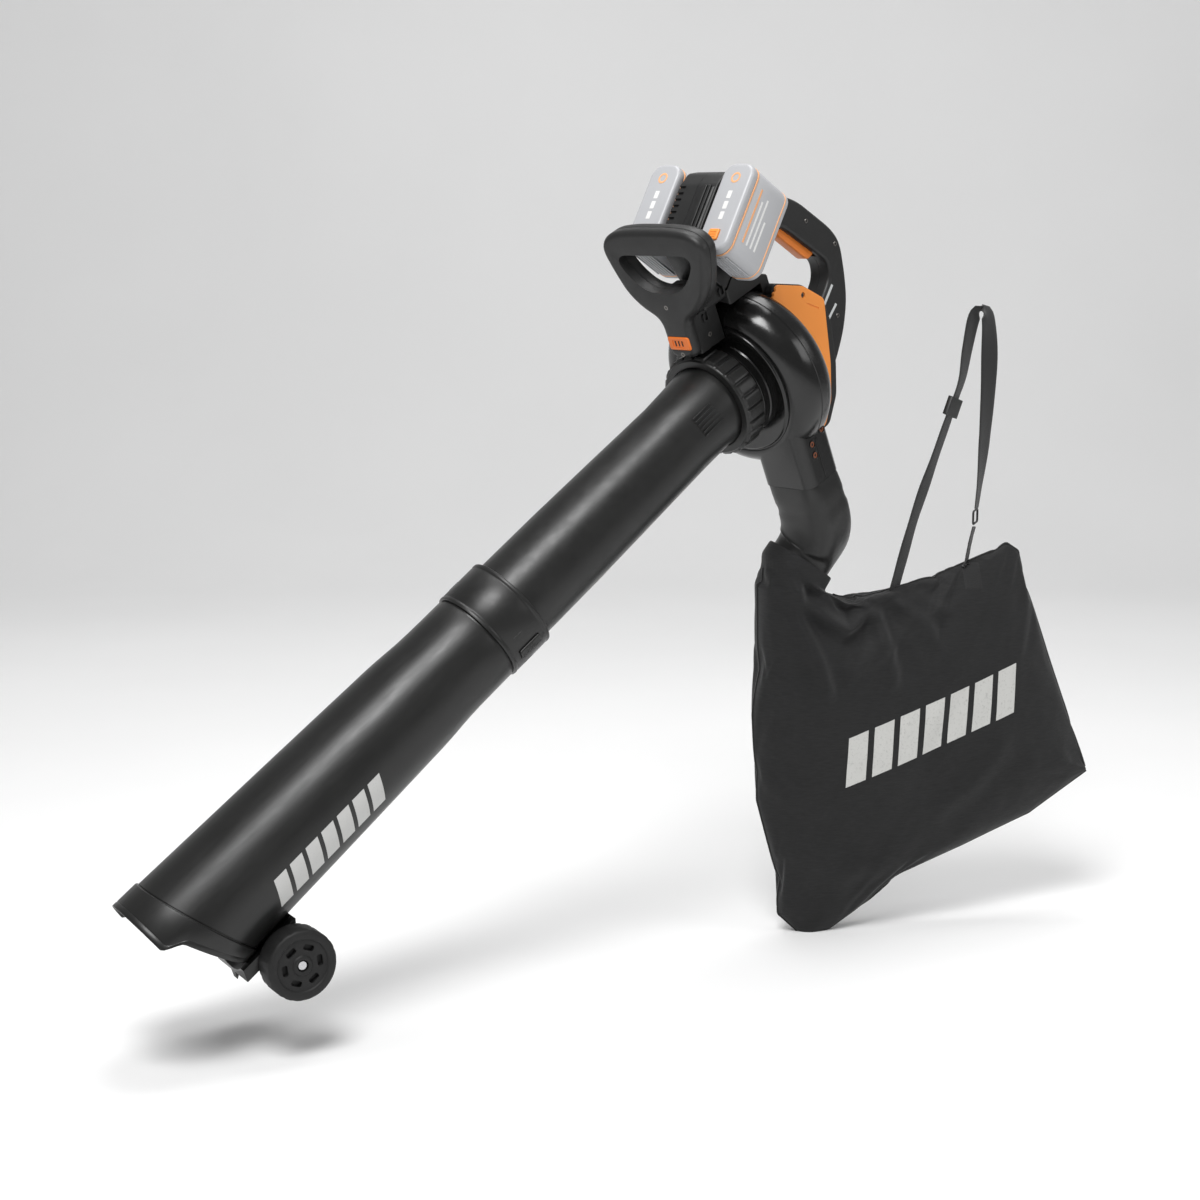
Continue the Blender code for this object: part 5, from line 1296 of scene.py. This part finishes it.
def lay_patch(name, bag, x0, x1, z0, z1, paint):
    """A sewn rectangle of tape that follows the bag's near face."""
    to_local = BAG.inverted() @ Matrix.Translation(GRIP) @ bag.matrix_world
    inverse = to_local.inverted()
    steps_x, steps_z = 14, 18
    front, verts, faces = [], [], []
    for j in range(steps_z + 1):
        for i in range(steps_x + 1):
            x, z = x0 + (x1 - x0) * i / steps_x, z0 + (z1 - z0) * j / steps_z
            origin = inverse @ Vector((x, -0.3, z))
            ahead = (inverse.to_3x3() @ Vector((0, 1, 0))).normalized()
            found, spot = bag.ray_cast(origin, ahead)[:2]
            y = (to_local @ spot).y if found else (front[-1] if front else -0.01)
            front.append(y)
            rim = min(i, steps_x - i, j, steps_z - j)
            verts.append((x, y - (0.0007 if rim else 0.0), z))
    row = steps_x + 1
    for j in range(steps_z):
        for i in range(steps_x):
            a = j * row + i
            faces.append((a, a + 1, a + row + 1, a + row))
    return make(name, verts, faces, paint, BAG, sharp=50)


# ---------------------------------------------------------------- shoulder strap
TAB_TURN = 56.0                   # how far the tab and its ring are turned about z
STRAP_TWIST = ((0.0, 36.0), (0.45, 45.0), (0.58, 28.0), (0.72, 14.0), (0.86, 30.0), (0.97, TAB_TURN),
               (1.0, TAB_TURN))   # the strap's turn at shares of its length
STRAP_ROUTE = [(0.0950, -0.2460), (0.120, -0.155), (0.145, -0.082), (0.1685, -0.015), (0.1805, 0.020),
               (0.186, 0.055), (0.193, 0.092), (0.199, 0.104), (0.207, 0.105), (0.213, 0.094), (0.216, 0.055),
               (0.2155, 0.000), (0.211, -0.080), (0.2045, -0.1440)]
TAB_ROUTE = [(0.2020, -0.1675), (0.197, -0.188), (0.1915, -0.2190)]
RING_AT, RING_HALF, RING_WIRE = (0.2035, -0.1547), (0.0165, 0.0095), 0.0025


def webbing_side(turn):
    return Vector((math.cos(math.radians(turn)), math.sin(math.radians(turn)), 0))


def twist_at(turns, t):
    for (t0, a0), (t1, a1) in zip(turns, turns[1:]):
        if t <= t1:
            return a0 + (a1 - a0) * ease((t - t0) / (t1 - t0))
    return turns[-1][1]


def band(name, route, turns, width, thick, nodes, count):
    """Woven webbing along (x, z) points, its width turning as it goes, with rolled edges and a slight cup."""
    path = curve_points([(x, 0, z) for x, z in route], count, closed=False)
    reach = sum((b - a).length for a, b in zip(path, path[1:]))
    across = (-1.0, -0.97, -0.90, -0.6, -0.3, 0.0, 0.3, 0.6, 0.90, 0.97, 1.0)
    rings = []
    for k, point in enumerate(path):
        t = k / (count - 1)
        along = (path[min(k + 1, count - 1)] - path[max(k - 1, 0)]).normalized()
        wide = webbing_side(twist_at(turns, t))
        wide = (wide - along * wide.dot(along)).normalized()
        normal = along.cross(wide)
        wave = (0.0005 * math.sin(t * 21.0) + 0.0004 * math.sin(t * 47.0 + 1.0)) * min(1.0, reach / 0.4)
        upper, lower = [], []
        for u in across:
            edge = 1 - 0.55 * max(0.0, (abs(u) - 0.9) / 0.1)
            middle = point + wide * width / 2 * u + normal * (wave * u + 0.0004 * u * u)
            upper.append(tuple(middle + normal * thick / 2 * edge))
            lower.append(tuple(middle - normal * thick / 2 * edge))
        rings.append(upper + lower[::-1])
    verts, faces = stitch(rings)
    return make(name, verts, faces, WEBBING, BAG, sharp=50, nodes=nodes)


def strap():
    band("strap_webbing", STRAP_ROUTE, STRAP_TWIST, STRAP_W, STRAP_THICK, ("shoulder_strap",), 150)
    flat = ((0.0, TAB_TURN), (1.0, TAB_TURN))
    band("tab_webbing", TAB_ROUTE, flat, STRAP_W, STRAP_THICK, ("strap_tab",), 30)
    at = BAG @ Matrix.Translation((RING_AT[0], 0, RING_AT[1])) @ rotation("Z", TAB_TURN)
    (wide, tall), wire = RING_HALF, RING_WIRE
    line = rounded(-wide + wire / 2, wide - wire / 2, -tall + wire / 2, tall - wire / 2, 0.0035, 8)
    hoop_path = [Vector((x, 0, z)) for x, z in line]
    rings = []
    count = len(hoop_path)
    for k, point in enumerate(hoop_path):
        along = (hoop_path[(k + 1) % count] - hoop_path[k - 1]).normalized()
        side = along.cross(Vector((0, 1, 0)))
        rings.append([tuple(point + side * wire / 2 * math.cos(a) + Vector((0, 0.0014 * math.sin(a), 0)))
                      for a in (2 * math.pi * i / 16 for i in range(16))])
    verts, faces = stitch(rings, True)
    make("strap_hoop", verts, faces, GREY, at, nodes=("strap_ring",))
    dress("strap_buckle", GREY, 0.0008, 3)


# ---------------------------------------------------------------- stage, lights, camera
LIGHTS = (("key", (-1.9, -0.9, 2.3), (-0.1, 0, -0.2), 1.4, 104),     # place, aim, size in metres, watts
          ("top", (0.3, 0.4, 2.5), (0, 0, -0.3), 1.6, 46),
          ("side", (1.2, -2.8, 1.2), (0, 0, -0.3), 1.4, 16))


def studio():
    low = min(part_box(name)[0].z for name in NODES)
    s = Shader("paper", 0.9)
    s.colour(s.mix(s.remap(s.noise(1.2, 3.0), 0.0, 1.0), (0.90, 0.90, 0.90), (0.93, 0.93, 0.93)))
    s.bump(s.noise(60.0, 3.0), 0.02, 0.001)
    profile = [(-6.0, 0.0), (-2.0, 0.0), (2.6, 0.0)]
    for k in range(1, 16):
        a = math.radians(6 * k)
        profile.append((2.6 + 1.4 * math.sin(a), 1.4 - 1.4 * math.cos(a)))
    profile.append((4.0, 5.0))
    verts, faces = [], []
    for x, z in profile:
        verts += [(x, -7.0, z), (x, 7.0, z)]
    for k in range(len(profile) - 1):
        faces.append((2 * k, 2 * k + 2, 2 * k + 3, 2 * k + 1))
    mesh = bpy.data.meshes.new("sweep_floor")
    mesh.from_pydata(verts, [], faces)
    mesh.materials.append(s.material)
    mesh.shade_smooth()
    floor = bpy.data.objects.new("sweep_floor", mesh)
    floor.matrix_world = Matrix.Translation((0, 0, low - 0.0005)) @ rotation("Z", 45)
    bpy.context.scene.collection.objects.link(floor)

    world = bpy.data.worlds.new("studio")
    bpy.context.scene.world = world
    world.use_nodes = True
    world.node_tree.nodes["Background"].inputs["Color"].default_value = (1, 1, 1, 1)
    world.node_tree.nodes["Background"].inputs["Strength"].default_value = 0.28
    for name, at, aim, size, power in LIGHTS:
        light = bpy.data.lights.new(name, "AREA")
        light.shape = "SQUARE"
        light.size = size
        light.energy = power
        lamp = bpy.data.objects.new(name, light)
        lamp.location = at
        lamp.rotation_euler = (Vector(aim) - Vector(at)).to_track_quat("-Z", "Y").to_euler()
        bpy.context.scene.collection.objects.link(lamp)

    camera = bpy.data.cameras.new("camera")
    camera.lens, camera.sensor_width = 67.2, 36.0
    camera.clip_start, camera.clip_end = 0.05, 50
    view = bpy.data.objects.new("camera", camera)
    view.location = (-2.0913, -1.7899, 0.0100)
    view.rotation_euler = (math.radians(80), 0, math.radians(-45))
    bpy.context.scene.collection.objects.link(view)
    bpy.context.scene.camera = view
    bpy.context.scene.view_settings.view_transform = "Standard"


def webbing_paint(name, colour):
    """Tightly woven tape: fine threads, slubs and soft wear."""
    s = Shader(name, 0.72)
    s.out.inputs["Sheen Weight"].default_value = 0.25
    s.out.inputs["Specular IOR Level"].default_value = 0.35
    turn = 2 * math.pi / 0.0016
    height = s.math("SINE", s.times(s.part("Z"), turn))
    width = s.math("SINE", s.times(s.plus(s.part("X"), s.part("Y")), turn * 0.7))
    threads = s.times(height, width)
    slub = s.noise(900.0, 3.0, 0.6)
    s.colour(s.mix(s.plus(s.remap(threads, -0.2, 0.2, -1.0, 1.0), s.remap(slub, 0.3, 0.7)),
                   shade(colour, 0.6), shade(colour, 1.5)))
    s.roughness(s.remap(slub, 0.62, 0.82))
    s.bump(s.plus(s.times(threads, 0.6), slub), 0.45, 0.0003)
    return s.material


WEBBING = webbing_paint("webbing", (0.0080, 0.0080, 0.0083))
BINDING = webbing_paint("hem_binding", (0.0085, 0.0085, 0.0088))
THREAD = plastic("thread", (0.022, 0.022, 0.023), 0.6, 0.4, 3000.0)


for step in (lower_tube, tube_collar, upper_tube, wheels, fan_housing, duct_joint, lock_ring, outlet_elbow,
             cuff_band, front_handle, neck, tower, packs, rear_handle, controls, spine_stripes):
    step()
lay_patch("bag_patch", catch_bag(), *BAG_PATCH, WEBBING)
strap()
studio()
